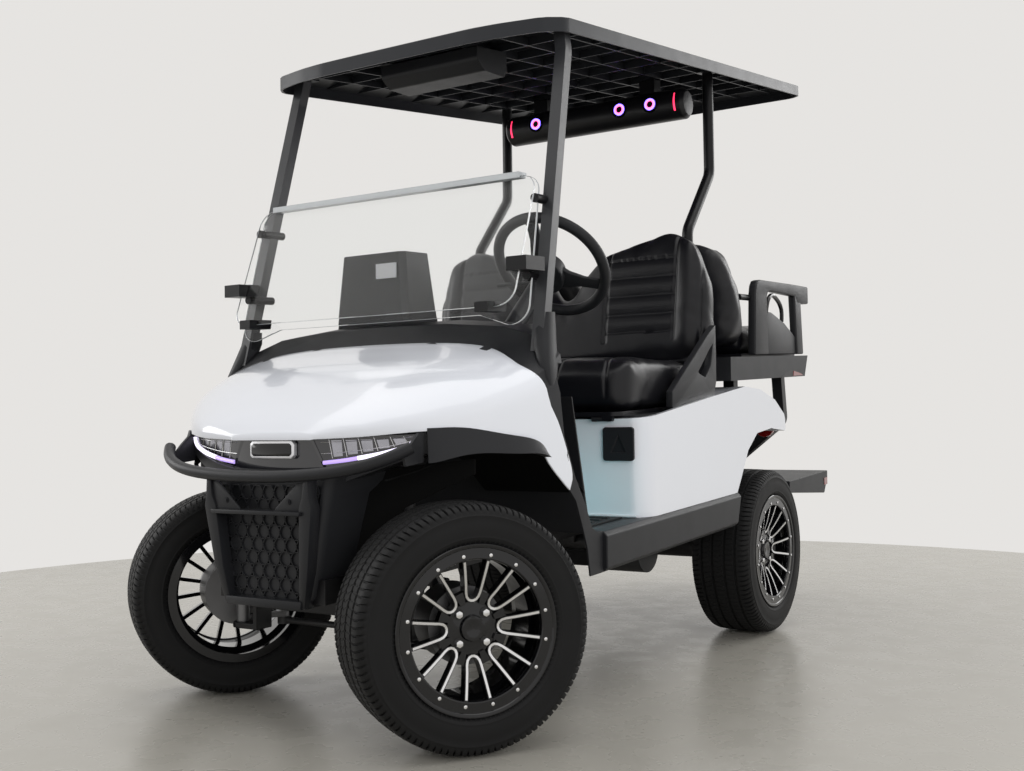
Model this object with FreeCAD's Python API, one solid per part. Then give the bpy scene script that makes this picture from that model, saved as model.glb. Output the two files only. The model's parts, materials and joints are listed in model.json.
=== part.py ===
"""Four-seat lifted golf cart: steel frame and axles, moulded body, seats, roof and folding windscreen.

Millimetres, +Z up, front towards -Y, left side towards +X. The origin is on the floor under the
middle of the cart's bounding box. The front wheels stand turned to the cart's right.
"""
import FreeCAD
import Part
import math
import os
from FreeCAD import Vector

os.makedirs("parts", exist_ok=True)

# Driving dimensions
WHEELBASE = 1676.0
TYRE_RADIUS = 290.0
TYRE_WIDTH = 216.0
TYRE_SHOULDER = 18.0
TYRE_BORE = 181.0
RIM_WIDTH = 208.0
RIM_LIP_RADIUS = 198.0
KINGPIN_X = 334.0
SPINDLE_LENGTH = 166.0
REAR_WHEEL_X = 503.0
REST_STEER = 34.0
RAKE = 0.047
TAIL_Y = 2640.0
BODY_HALF = 590.0
SKIN = 5.0
SEAT_GAP = 0.3
OVERRUN = 40.0
CORNER_LONG_SHARE = 0.72
CORNER_SHORT_SHARE = 0.28

STEER_SIN = math.sin(math.radians(REST_STEER))
STEER_COS = math.cos(math.radians(REST_STEER))
TREAD_REACH = TYRE_RADIUS * STEER_COS + (TYRE_WIDTH / 2 - TYRE_SHOULDER) * STEER_SIN
FRONT_REACH = SPINDLE_LENGTH * STEER_SIN + TREAD_REACH
FRONT_AXLE_Y = (FRONT_REACH - TAIL_Y) / 2
REAR_AXLE_Y = FRONT_AXLE_Y + WHEELBASE

ALONG_X = Vector(1, 0, 0)
ALONG_Y = Vector(0, 1, 0)
ALONG_Z = Vector(0, 0, 1)
ORIGIN = Vector(0, 0, 0)


def spot(x, y, z):
    """A point of the raked body: y behind the front axle, z above the floor at that axle."""
    return Vector(x, FRONT_AXLE_Y + y, z + RAKE * y)


def polygon_face(points):
    return Part.Face(Part.makePolygon(points + points[:1]))


def slab(outline, x0, x1):
    """The side outline of (y, z) pairs, drawn out from x0 to x1."""
    return polygon_face([spot(x0, y, z) for y, z in outline]).extrude(Vector(x1 - x0, 0, 0))


def plate(outline, z0, z1):
    """The plan outline of (x, y) pairs, drawn up from z0 to z1 and lying along the rake."""
    return polygon_face([spot(x, y, z0) for x, y in outline]).extrude(Vector(0, 0, z1 - z0))


def front_slab(outline, y0, y1):
    """The front outline of (x, z) pairs, drawn back from y0 to y1."""
    return polygon_face([spot(x, y0, z) for x, z in outline]).extrude(Vector(0, y1 - y0, RAKE * (y1 - y0)))


def block(x0, x1, y0, y1, z0, z1):
    return slab([(y0, z0), (y1, z0), (y1, z1), (y0, z1)], x0, x1)


def scaled(shares, a0, a1, b0, b1):
    """Pairs of shares placed in the box from (a0, b0) to (a1, b1)."""
    return [(a0 + (a1 - a0) * u, b0 + (b1 - b0) * v) for u, v in shares]


def rounded_edges(points, radius, closed):
    """Straight edges through the points, with an arc of the radius at each corner."""
    count = len(points)
    corners = range(count) if closed else range(1, count - 1)
    cuts = {}
    for i in corners:
        here = points[i]
        back = points[i - 1] - here
        ahead = points[(i + 1) % count] - here
        half = back.getAngle(ahead) / 2
        reach = min(radius / math.tan(half), back.Length * 0.49, ahead.Length * 0.49)
        bend = reach * math.tan(half)
        start = here + back.normalize() * reach
        end = here + ahead.normalize() * reach
        inward = ((start + end) / 2 - here).normalize()
        middle = here + inward * (bend / math.sin(half) - bend)
        cuts[i] = (start, middle, end)
    edges = []
    last = cuts[count - 1][2] if closed else points[0]
    for i in range(count) if closed else range(1, count - 1):
        start, middle, end = cuts[i]
        edges.append(Part.makeLine(last, start))
        edges.append(Part.Arc(start, middle, end).toShape())
        last = end
    if not closed:
        edges.append(Part.makeLine(last, points[-1]))
    return edges


def cut_corners(points, reach):
    """The closed outline with a straight cut across each corner."""
    cut = []
    for i in range(len(points)):
        here = points[i]
        for other in (points[i - 1], points[(i + 1) % len(points)]):
            cut.append(here + (other - here).normalize() * reach)
    return cut


def closed_polygon(points):
    return Part.makePolygon(points + points[:1])


def rounded_wire(points, radius, closed=True):
    return Part.Wire(rounded_edges(points, radius, closed))


def rounded_slab(outline, radius, x0, x1):
    wire = rounded_wire([spot(x0, y, z) for y, z in outline], radius)
    return Part.Face(wire).extrude(Vector(x1 - x0, 0, 0))


def cut_plate(x0, x1, y0, y1, corner, z0, z1):
    """A rectangular plate whose upright corners are cut in three flats."""
    corners = [spot(x0, y0, z0), spot(x1, y0, z0), spot(x1, y1, z0), spot(x0, y1, z0)]
    outline = cut_corners(cut_corners(corners, corner * CORNER_LONG_SHARE), corner * CORNER_SHORT_SHARE)
    return polygon_face(outline).extrude(Vector(0, 0, z1 - z0))


def rounded_plate(outline, radius, z0, z1):
    wire = rounded_wire([spot(x, y, z0) for x, y in outline], radius)
    return Part.Face(wire).extrude(Vector(0, 0, z1 - z0))


def bar(points, radius, bend):
    """A round bar along the points, bent at each one."""
    path = rounded_wire(points, bend, closed=False)
    start = points[0]
    ring = Part.Wire(Part.makeCircle(radius, start, points[1] - start))
    return path.makePipeShell([ring], True, False)


def square_bar(points, width, depth, bend):
    """A bar of rectangular section along the points: width lies across x."""
    path = rounded_wire(points, bend, closed=False)
    start = points[0]
    ahead = (points[1] - start).normalize()
    side = (ALONG_X - ahead * ahead.dot(ALONG_X)).normalize() * (width / 2)
    up = ahead.cross(side).normalize() * (depth / 2)
    ring = Part.makePolygon([start + side + up, start - side + up, start - side - up, start + side - up,
                             start + side + up])
    return path.makePipeShell([ring], True, False)


def rod(start, end, radius):
    """A straight round bar between two points."""
    return Part.makeCylinder(radius, (end - start).Length, start, end - start)


def mirrored(shape):
    return shape.mirror(ORIGIN, ALONG_X)


def pair(shape):
    return [shape, mirrored(shape)]


def fused(shapes):
    whole = shapes[0].fuse(shapes[1:]) if len(shapes) > 1 else shapes[0]
    return whole.removeSplitter()


def save(name, shapes):
    """Writes the solids of one sub-part to its own file."""
    shape = shapes[0] if len(shapes) == 1 else Part.makeCompound(shapes)
    shape.exportStep("parts/%s.step" % name)


# Chassis: two box rails tied by cross tubes, with hangers for the springs and arms to the rear step
RAIL_X = 150.0
RAIL_WIDTH = 50.0
RAIL_HEIGHT = 60.0
RAIL_Z = 372.0
RAIL_FRONT = -236.0
RAIL_REAR = 2020.0
CROSS_BAR = 40.0
CROSS_Y_SHARES = (0.06, 0.22, 0.42, 0.62, 0.98)
RAIL_TOP = RAIL_Z + RAIL_HEIGHT / 2
RAIL_BOTTOM = RAIL_Z - RAIL_HEIGHT / 2
OUTRIGGER_Y_SHARES = (0.3, 0.58)
HANGER_WIDTH = 40.0
HANGER_THICK = 10.0
STEP_ARM = 40.0
STEP_ARM_REACH_SHARE = 0.85


def chassis():
    left = block(RAIL_X - RAIL_WIDTH / 2, RAIL_X + RAIL_WIDTH / 2, RAIL_FRONT, RAIL_REAR, RAIL_BOTTOM, RAIL_TOP)
    pieces = pair(left)
    for share in CROSS_Y_SHARES:
        y = RAIL_FRONT + (RAIL_REAR - RAIL_FRONT) * share
        pieces.append(cross_bar(RAIL_X, y))
    for share in OUTRIGGER_Y_SHARES:
        y = RAIL_FRONT + (RAIL_REAR - RAIL_FRONT) * share
        pieces.append(cross_bar(SILL_WALL - SEAT_GAP, y))
    pieces.append(shock_tube())
    for end in (-1, 1):
        pieces += leaf_hangers(end)
    save("chassis", [fused(pieces + step_arms())])


def cross_bar(reach, y):
    half = CROSS_BAR / 2
    return block(-reach, reach, y - half, y + half, RAIL_Z - half, RAIL_Z + half)


def leaf_hangers(end):
    """A plate on the side of each rail, with a pin through the spring's eye."""
    eye = leaf_eye(end)
    y = eye.y - FRONT_AXLE_Y
    level = eye.z - RAKE * y
    rail_side = RAIL_X + RAIL_WIDTH / 2
    hanger = block(rail_side, rail_side + HANGER_THICK, y - HANGER_WIDTH / 2, y + HANGER_WIDTH / 2, RAIL_BOTTOM,
                   level + HANGER_WIDTH / 2)
    pin = rod(Vector(rail_side, eye.y, eye.z), Vector(LEAF_X + LEAF_WIDTH / 2 + HANGER_THICK, eye.y, eye.z), LEAF_PIN)
    return pair(hanger) + pair(pin)


def step_arms():
    end = STEP_FRONT + (TAIL_Y - STEP_FRONT) * STEP_ARM_REACH_SHARE
    top = STEP_TOP - STEP_WALL
    return pair(block(RAIL_X - STEP_ARM / 2, RAIL_X + STEP_ARM / 2, RAIL_REAR, end, top - STEP_ARM, top))


# Battery pack: one plain block across the rails under the seat
BATTERY_HALF = 270.0
BATTERY_FRONT = 800.0
BATTERY_REAR = 1160.0
BATTERY_HEIGHT = 250.0


def battery():
    save("battery_pack", [block(-BATTERY_HALF, BATTERY_HALF, BATTERY_FRONT, BATTERY_REAR, RAIL_TOP,
                                RAIL_TOP + BATTERY_HEIGHT)])


# Wheels: a dished spoked rim, with a low tyre seated between its lips
LIP_THICK = 7.0
BARREL_WALL = 8.0
RING_INNER = 160.0
RING_FACE = 98.0
RING_THICK = 16.0
HUB_RADIUS = 64.0
HUB_FACE = 62.0
HUB_BACK = 22.0
CAP_RADIUS = 29.0
CAP_FACE = 72.0
SPOKE_PAIRS = 8
SPOKE_WIDTH = 11.0
SPOKE_DEPTH = 24.0
SPOKE_ROOT = 52.0
SPOKE_ROOT_ANGLE = 13.0
SPOKE_TIP_ANGLE = 10.5
BARREL_OUTER = TYRE_BORE - SEAT_GAP
BARREL_INNER = BARREL_OUTER - BARREL_WALL


def wheel_profile(pairs):
    """Face of (offset along the axle, radius) pairs, for turning about the x axis."""
    return polygon_face([Vector(offset, 0, radius) for offset, radius in pairs])


def rim_barrel():
    lip = RIM_WIDTH / 2
    seat = lip - LIP_THICK
    outer = [(-lip, RIM_LIP_RADIUS), (-seat, RIM_LIP_RADIUS), (-seat, BARREL_OUTER),
             (seat, BARREL_OUTER), (seat, RIM_LIP_RADIUS), (lip, RIM_LIP_RADIUS)]
    ring = [(lip, RING_INNER), (lip - RING_THICK, RING_INNER), (lip - RING_THICK - BARREL_WALL, BARREL_INNER),
            (-lip, BARREL_INNER)]
    return wheel_profile(outer + ring).revolve(ORIGIN, ALONG_X, 360)


def rim_hub():
    core = wheel_profile([(HUB_BACK, 0), (CAP_FACE, 0), (CAP_FACE, CAP_RADIUS), (HUB_FACE, CAP_RADIUS),
                          (HUB_FACE, HUB_RADIUS), (HUB_BACK, HUB_RADIUS)])
    return core.revolve(ORIGIN, ALONG_X, 360)


def spoke(root_angle, tip_angle):
    """A slim bar from the hub out to the ring, rising with the dish."""
    tip = (RING_INNER + BARREL_INNER) / 2
    points = []
    for radius, angle, face in ((SPOKE_ROOT, root_angle, HUB_FACE), (tip, tip_angle, RING_FACE)):
        turn = math.radians(angle)
        centre = Vector(0, radius * math.cos(turn), radius * math.sin(turn))
        across = Vector(0, -math.sin(turn), math.cos(turn)) * (SPOKE_WIDTH / 2)
        points.append([centre + across + Vector(face - SPOKE_DEPTH, 0, 0), centre - across +
                       Vector(face - SPOKE_DEPTH, 0, 0), centre - across + Vector(face, 0, 0),
                       centre + across + Vector(face, 0, 0)])
    wires = [Part.makePolygon(ring + ring[:1]) for ring in points]
    return Part.makeLoft(wires, True, True)


def rim():
    solid = [rim_barrel(), rim_hub()]
    for k in range(SPOKE_PAIRS):
        middle = 360.0 * k / SPOKE_PAIRS
        for side in (-1, 1):
            solid.append(spoke(middle + side * SPOKE_ROOT_ANGLE, middle + side * SPOKE_TIP_ANGLE))
    return fused(solid)


def tyre():
    half = TYRE_WIDTH / 2
    seat = RIM_WIDTH / 2 - LIP_THICK - SEAT_GAP
    side = [(seat, TYRE_BORE), (seat, RIM_LIP_RADIUS + SEAT_GAP), (half, TYRE_RADIUS - TYRE_SHOULDER),
            (half - TYRE_SHOULDER, TYRE_RADIUS)]
    other = [(-offset, radius) for offset, radius in reversed(side)]
    return wheel_profile(side + other).revolve(ORIGIN, ALONG_X, 360)


def stand_front(shape, side):
    """Moves a piece built about its kingpin to the left (1) or right (-1) side, turned with the steering."""
    placed = shape.copy()
    if side < 0:
        placed = mirrored(placed)
    placed.rotate(ORIGIN, ALONG_Z, -REST_STEER)
    placed.translate(Vector(side * KINGPIN_X, FRONT_AXLE_Y, TYRE_RADIUS))
    return placed


def wheels():
    for name, piece in (("rim", rim()), ("tyre", tyre())):
        at_spindle = piece.copy()
        at_spindle.translate(Vector(SPINDLE_LENGTH, 0, 0))
        rear = piece.copy()
        rear.translate(Vector(REAR_WHEEL_X, REAR_AXLE_Y, TYRE_RADIUS))
        save("front_left_" + name, [stand_front(at_spindle, 1)])
        save("front_right_" + name, [stand_front(at_spindle, -1)])
        save("rear_left_" + name, [rear])
        save("rear_right_" + name, [mirrored(rear)])


# Steering knuckles: a kingpin barrel, a hub on its stub, and an arm for the tie rod
KINGPIN_RADIUS = 20.0
KINGPIN_HALF = 70.0
STUB_RADIUS = 24.0
BRAKE_RADIUS = 92.0
BRAKE_BACK = 84.0
HUB_GAP = 0.4
STEER_ARM_Y = 112.0
STEER_ARM_DROP = 52.0
STEER_ARM_THICK = 14.0
STEER_ARM_WIDTH = 30.0
BALL_RADIUS = 9.0
TIE_ROD_RADIUS = 9.0
TIE_EYE_RADIUS = 18.0
TIE_EYE_HEIGHT = 20.0
PIN_GAP = 0.1


def knuckle():
    """Built about the kingpin: barrel upright, stub towards the wheel, steering arm to the rear."""
    barrel = Part.makeCylinder(KINGPIN_RADIUS, 2 * KINGPIN_HALF, Vector(0, 0, -KINGPIN_HALF), ALONG_Z)
    hub_face = SPINDLE_LENGTH + HUB_BACK - HUB_GAP
    stub = Part.makeCylinder(STUB_RADIUS, hub_face, ORIGIN, ALONG_X)
    drum = Part.makeCylinder(BRAKE_RADIUS, hub_face - BRAKE_BACK, Vector(BRAKE_BACK, 0, 0), ALONG_X)
    low = -STEER_ARM_DROP
    end = Vector(0, STEER_ARM_Y, low)
    arm = rounded_arm(Vector(0, 0, low), end, STEER_ARM_WIDTH, STEER_ARM_THICK)
    pin = Part.makeCylinder(BALL_RADIUS, TIE_EYE_HEIGHT + STEER_ARM_THICK, end, -ALONG_Z)
    return fused([barrel, stub, drum, arm, pin])


def rounded_arm(start, end, width, thick):
    """A flat link with round ends, its top face at the height of its points."""
    along = Vector(end.x - start.x, end.y - start.y, 0)
    across = along.cross(ALONG_Z).normalize() * (width / 2)
    strap = polygon_face([start + across, end + across, end - across, start - across])
    strap = strap.extrude(Vector(0, 0, -thick))
    drop = Vector(0, 0, -thick)
    ends = [Part.makeCylinder(width / 2, thick, point + drop, ALONG_Z) for point in (start, end)]
    return fused([strap] + ends)


def knuckles():
    turned = knuckle()
    save("front_left_knuckle", [stand_front(turned, 1)])
    save("front_right_knuckle", [stand_front(turned, -1)])


def tie_rod():
    """A rod between the two steering arms, with an eye round each arm's pin."""
    swing = Vector(STEER_ARM_Y * STEER_SIN, FRONT_AXLE_Y + STEER_ARM_Y * STEER_COS, 0)
    eye_top = TYRE_RADIUS - STEER_ARM_DROP - STEER_ARM_THICK - HUB_GAP
    eyes = [Vector(side * KINGPIN_X, 0, eye_top) + swing for side in (1, -1)]
    drop = Vector(0, 0, -TIE_EYE_HEIGHT)
    solid = [rod(eyes[0] + drop / 2, eyes[1] + drop / 2, TIE_ROD_RADIUS)]
    for eye in eyes:
        solid.append(Part.makeCylinder(TIE_EYE_RADIUS, TIE_EYE_HEIGHT, eye + drop, ALONG_Z))
    whole = fused(solid)
    for eye in eyes:
        whole = whole.cut(Part.makeCylinder(BALL_RADIUS + PIN_GAP, 3 * TIE_EYE_HEIGHT, eye + drop * 2, ALONG_Z))
    save("tie_rod", [whole])


# Front suspension: a beam under the rails ending in a fork round each kingpin, with a coil unit above
FORK_THICK = 16.0
FORK_GAP = 0.4
BEAM_HEIGHT = 50.0
BEAM_DEPTH = 60.0
FORK_BACK = 62.0
COIL_RADIUS = 32.0
COIL_ROD = 14.0
COIL_FOOT_X = 236.0
COIL_TOP_X = 225.0
COIL_TOP_Z = 640.0
COIL_SPLIT_SHARE = 0.3
TOWER_THICK = 10.0
TOWER_DEPTH = 90.0


def front_beam():
    """Cross beam with a C-shaped fork at each end that holds the kingpin top and bottom."""
    top = TYRE_RADIUS + KINGPIN_HALF + FORK_GAP
    low = TYRE_RADIUS - KINGPIN_HALF - FORK_GAP
    y0 = FRONT_AXLE_Y - BEAM_DEPTH / 2
    beam_end = KINGPIN_X - FORK_BACK
    beam = Part.makeBox(2 * beam_end, BEAM_DEPTH, BEAM_HEIGHT,
                        Vector(-beam_end, y0, TYRE_RADIUS - BEAM_HEIGHT / 2))
    saddle = block(RAIL_X - RAIL_WIDTH / 2, RAIL_X + RAIL_WIDTH / 2, -BEAM_DEPTH / 2, BEAM_DEPTH / 2, TYRE_RADIUS,
                   RAIL_BOTTOM)
    solid = [beam] + pair(saddle)
    for side in (1, -1):
        for z in (top, low - FORK_THICK):
            inner = side * (beam_end - FORK_THICK)
            outer = side * KINGPIN_X
            tongue = Part.makeBox(abs(outer - inner), BEAM_DEPTH, FORK_THICK, Vector(min(inner, outer), y0, z))
            eye = Part.makeCylinder(BEAM_DEPTH / 2, FORK_THICK, Vector(outer, FRONT_AXLE_Y, z), ALONG_Z)
            solid += [tongue, eye]
        wall = Part.makeBox(FORK_THICK, BEAM_DEPTH, top - low + 2 * FORK_THICK,
                            Vector(min(side * beam_end, side * (beam_end - FORK_THICK)), y0, low - FORK_THICK))
        solid.append(wall)
    save("front_axle_beam", [fused(solid)])


def front_coils():
    """A coil unit on each side, from the beam up to a tower on the rail."""
    foot = Vector(COIL_FOOT_X, FRONT_AXLE_Y, TYRE_RADIUS)
    head = spot(COIL_TOP_X, 0, COIL_TOP_Z + COIL_ROD)
    middle = foot + (head - foot) * COIL_SPLIT_SHARE
    unit = fused([rod(foot, head, COIL_ROD), rod(middle, head, COIL_RADIUS)])
    beam = Part.makeBox(KINGPIN_X, BEAM_DEPTH, BEAM_HEIGHT,
                        Vector(0, FRONT_AXLE_Y - BEAM_DEPTH / 2, TYRE_RADIUS - BEAM_HEIGHT / 2))
    tower = block(0, KINGPIN_X, -TOWER_DEPTH, TOWER_DEPTH, COIL_TOP_Z, COIL_TOP_Z + TOWER_DEPTH)
    save("front_coil_units", pair(unit.cut(beam).cut(tower)))


def front_tower():
    """A bent plate frame over the rails that takes the tops of the coil units."""
    rail_side = RAIL_X + RAIL_WIDTH / 2
    depth = TOWER_DEPTH / 2
    reach = COIL_TOP_X + COIL_RADIUS
    top = COIL_TOP_Z + TOWER_THICK
    rise = block(rail_side, rail_side + TOWER_THICK, -depth, depth, RAIL_BOTTOM, top)
    roof = block(-reach, reach, -depth, depth, COIL_TOP_Z, top)
    save("front_tower", [fused([rise, mirrored(rise), roof])])


# Rear axle: tube and gear case with the motor on its side, on leaf springs and shocks
AXLE_RADIUS = 38.0
REAR_DRUM_RADIUS = 95.0
REAR_DRUM_WIDTH = 62.0
GEAR_CASE_RADIUS = 105.0
GEAR_CASE_HALF = 75.0
GEAR_CASE_X = -40.0
MOTOR_RADIUS = 90.0
MOTOR_LENGTH = 200.0
MOTOR_BACK_SHARE = -0.6
LEAF_X = 215.0
LEAF_WIDTH = 50.0
LEAF_THICK = 9.0
LEAF_COUNT = 3
LEAF_STEP_SHARE = 0.28
LEAF_HALF = 320.0
LEAF_RISE = 70.0
LEAF_PIN = 8.0
LEAF_EYE = 14.0
LIFT_BLOCK = 60.0
SHOCK_X = 300.0
SHOCK_RADIUS = 22.0
SHOCK_ROD = 9.0
SHOCK_SPLIT_SHARE = 0.5
SHOCK_TUBE = 19.0
SHOCK_TUBE_Y = 1786.0
SHOCK_TUBE_HALF = 336.0


def rear_axle():
    centre = Vector(0, REAR_AXLE_Y, TYRE_RADIUS)
    end = REAR_WHEEL_X + HUB_BACK - HUB_GAP
    tube = rod(centre - ALONG_X * end, centre + ALONG_X * end, AXLE_RADIUS)
    solid = [tube]
    for side in (1, -1):
        face = centre + ALONG_X * (side * end)
        solid.append(rod(face, face - ALONG_X * (side * REAR_DRUM_WIDTH), REAR_DRUM_RADIUS))
    case = centre + ALONG_X * GEAR_CASE_X
    solid.append(rod(case - ALONG_X * GEAR_CASE_HALF, case + ALONG_X * GEAR_CASE_HALF, GEAR_CASE_RADIUS))
    motor = case + ALONG_X * GEAR_CASE_HALF + ALONG_Y * (GEAR_CASE_RADIUS + MOTOR_RADIUS) * MOTOR_BACK_SHARE
    solid.append(rod(motor - ALONG_X * GEAR_CASE_HALF, motor + ALONG_X * (MOTOR_LENGTH - GEAR_CASE_HALF), MOTOR_RADIUS))
    save("rear_axle", [fused(solid)])


def leaf_eye(end):
    """Centre of the left spring's eye in front of (-1) or behind (1) the axle."""
    top = TYRE_RADIUS + AXLE_RADIUS + LIFT_BLOCK + LEAF_COUNT * LEAF_THICK
    return Vector(LEAF_X, REAR_AXLE_Y + end * LEAF_HALF, top + LEAF_RISE - LEAF_THICK / 2)


def leaf_springs():
    """A bowed pack of leaves over each end of the axle, on a lift block."""
    base = TYRE_RADIUS + AXLE_RADIUS + LIFT_BLOCK
    solid = []
    for k in range(LEAF_COUNT):
        half = LEAF_HALF * (1 - k * LEAF_STEP_SHARE)
        low = base - k * LEAF_THICK + (LEAF_COUNT - 1) * LEAF_THICK
        rise = LEAF_RISE * (half / LEAF_HALF) ** 2
        x = LEAF_X - LEAF_WIDTH / 2

        def p(y, z):
            return Vector(x, REAR_AXLE_Y + y, z)
        under = Part.Arc(p(-half, low + rise), p(0, low), p(half, low + rise)).toShape()
        over = Part.Arc(p(half, low + rise + LEAF_THICK), p(0, low + LEAF_THICK),
                        p(-half, low + rise + LEAF_THICK)).toShape()
        wire = Part.Wire([under, Part.makeLine(p(half, low + rise), p(half, low + rise + LEAF_THICK)), over,
                          Part.makeLine(p(-half, low + rise + LEAF_THICK), p(-half, low + rise))])
        solid.append(Part.Face(wire).extrude(Vector(LEAF_WIDTH, 0, 0)))
    lift = Part.makeBox(LEAF_WIDTH, LEAF_WIDTH + LEAF_WIDTH, LIFT_BLOCK + AXLE_RADIUS + LEAF_THICK,
                        Vector(LEAF_X - LEAF_WIDTH / 2, REAR_AXLE_Y - LEAF_WIDTH, TYRE_RADIUS))
    solid.append(lift.cut(rod(Vector(0, REAR_AXLE_Y, TYRE_RADIUS), Vector(LEAF_X * 2, REAR_AXLE_Y, TYRE_RADIUS),
                              AXLE_RADIUS)))
    across = ALONG_X * (LEAF_WIDTH / 2)
    eyes = [leaf_eye(end) for end in (-1, 1)]
    solid += [rod(eye - across, eye + across, LEAF_EYE) for eye in eyes]
    spring = fused(solid)
    for eye in eyes:
        spring = spring.cut(rod(eye - across * 2, eye + across * 2, LEAF_PIN + PIN_GAP))
    save("rear_leaf_springs", pair(spring))


def shock_tube():
    """The cross tube behind the axle that takes the tops of the shocks."""
    return rod(spot(-SHOCK_TUBE_HALF, SHOCK_TUBE_Y, RAIL_Z), spot(SHOCK_TUBE_HALF, SHOCK_TUBE_Y, RAIL_Z), SHOCK_TUBE)


def rear_shocks():
    foot = Vector(SHOCK_X, REAR_AXLE_Y, TYRE_RADIUS)
    head = spot(SHOCK_X, SHOCK_TUBE_Y, RAIL_Z)
    middle = foot + (head - foot) * SHOCK_SPLIT_SHARE
    unit = fused([rod(foot, head, SHOCK_ROD), rod(middle, head, SHOCK_RADIUS)])
    axle = rod(Vector(0, REAR_AXLE_Y, TYRE_RADIUS), Vector(BODY_HALF, REAR_AXLE_Y, TYRE_RADIUS), AXLE_RADIUS)
    unit = unit.cut(axle).cut(shock_tube())
    save("rear_shocks", pair(min(unit.Solids, key=lambda piece: abs(piece.CenterOfMass.z - middle.z))))


# Front body: one moulded surface, cut into the white hood and the dark cowl round its back edge
NOSE_Y = -237.0
NOSE_Z = 744.0
COWL_REAR = 300.0
COWL_RISE = 292.0
NOSE_Y_SHARES = (0.0, 0.06, 0.21, 0.441, 0.665, 0.758, 0.86, 1.0)
NOSE_HALF_SHARES = (0.22, 0.458, 0.686, 0.881, 0.966, 0.978, 0.988, 0.997)
NOSE_CROWN_SHARES = (0.03, 0.14, 0.322, 0.551, 0.705, 0.781, 0.959, 1.0)
NOSE_SHOULDER_SHARES = (0.0, 0.014, 0.027, 0.09, 0.19, 0.24, 0.31, 0.33)
ARCH_POWER = 3.2
ARCH_X_SHARES = (-1.0, -0.97, -0.88, -0.68, -0.36, 0.0, 0.36, 0.68, 0.88, 0.97, 1.0)
NOSE_FORM_EXTRA_SHARE = 0.2
HOOD_FOOT = 300.0
COWL_SIDE_X = 480.0
COWL_SIDE_Y = 122.0
COWL_MIDDLE_Y = 172.0
COWL_SPLIT_Z = 900.0
SCREEN_TOP_Z = 1100.0
HOOD_SIDE_SHARES = ((-0.1, 1.3), (-0.1, 0.0), (0.21, 0.03), (0.47, -0.05), (0.6, -0.09), (0.67, -0.2), (0.7, -0.28),
                    (0.872, -0.568), (0.895, -0.46), (0.795, 0.013), (0.711, 0.247), (0.65, 0.535), (1.0, 0.535),
                    (1.0, 1.3))
COWL_FOOT_SHARE = 1.18
COWL_SIDE_SHARES = ((0.65, 0.535), (0.711, 0.247), (0.795, 0.013), (0.895, -0.46), (0.872, -0.568),
                    (0.929, -0.682), (0.987, -0.942), (1.026, -1.127), (1.05, -1.376), (COWL_FOOT_SHARE, -1.376),
                    (COWL_FOOT_SHARE, -1.007), (1.12, -0.995), (1.075, -0.95), (1.011, -0.726), (0.922, -0.459),
                    (0.838, -0.099), (0.812, 0.247), (0.8, 0.535))


def arch_wire(y, half, shoulder, crown, foot):
    """A closed cross-section: straight sides up to the shoulder and a flat crown between them."""
    top = []
    for share in ARCH_X_SHARES:
        lift = (1 - abs(share) ** ARCH_POWER) ** (1 / ARCH_POWER)
        top.append(spot(share * half, y, shoulder + (crown - shoulder) * lift))
    return closed_polygon([spot(-half, y, foot)] + top + [spot(half, y, foot)])


def nose_form(inset):
    """The solid under the front body's surface, drawn in all round by the inset."""
    wires = []
    reach = 1 + NOSE_FORM_EXTRA_SHARE
    for k in range(len(NOSE_Y_SHARES)):
        y = NOSE_Y + inset + (COWL_REAR - NOSE_Y) * NOSE_Y_SHARES[k]
        half = BODY_HALF * NOSE_HALF_SHARES[k] - inset
        shoulder = NOSE_Z + COWL_RISE * NOSE_SHOULDER_SHARES[k] - inset
        crown = NOSE_Z + COWL_RISE * NOSE_CROWN_SHARES[k] - inset
        wires.append(arch_wire(y, half, shoulder, crown, HOOD_FOOT - inset))
    last = NOSE_Y + inset + (COWL_REAR - NOSE_Y) * reach
    wires.append(arch_wire(last, BODY_HALF - inset, shoulder, crown, HOOD_FOOT - inset))
    return Part.makeLoft(wires, True, True)


def cowl_prism():
    """What lies behind the curved back edge of the hood, above its shoulder."""
    rise = COWL_MIDDLE_Y - COWL_SIDE_Y
    circle = (COWL_SIDE_X ** 2 + rise ** 2) / (2 * rise)
    wide = BODY_HALF + OVERRUN
    side_y = COWL_MIDDLE_Y - circle + math.sqrt(circle ** 2 - wide ** 2)
    low = COWL_SPLIT_Z
    arc = Part.Arc(spot(-wide, side_y, low), spot(0, COWL_MIDDLE_Y, low), spot(wide, side_y, low)).toShape()
    corners = [spot(wide, side_y, low), spot(wide, COWL_REAR, low), spot(-wide, COWL_REAR, low),
               spot(-wide, side_y, low)]
    lines = [Part.makeLine(corners[k], corners[k + 1]) for k in range(len(corners) - 1)]
    return Part.Face(Part.Wire([arc] + lines)).extrude(Vector(0, 0, SCREEN_TOP_Z - low))


def front_body():
    shell = nose_form(0).cut(nose_form(SKIN))
    wide = BODY_HALF + OVERRUN
    top = cowl_prism()
    side = slab(scaled(HOOD_SIDE_SHARES, NOSE_Y, COWL_REAR, NOSE_Z, NOSE_Z + COWL_RISE), -wide, wide)
    hood = shell.common(side).cut(top)
    strip = slab(scaled(COWL_SIDE_SHARES, NOSE_Y, COWL_REAR, NOSE_Z, NOSE_Z + COWL_RISE), -wide, wide)
    cowl = shell.common(strip.cut(top).fuse(top))
    save("hood", hood.Solids)
    save("cowl", cowl.cut(hood).Solids)


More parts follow.
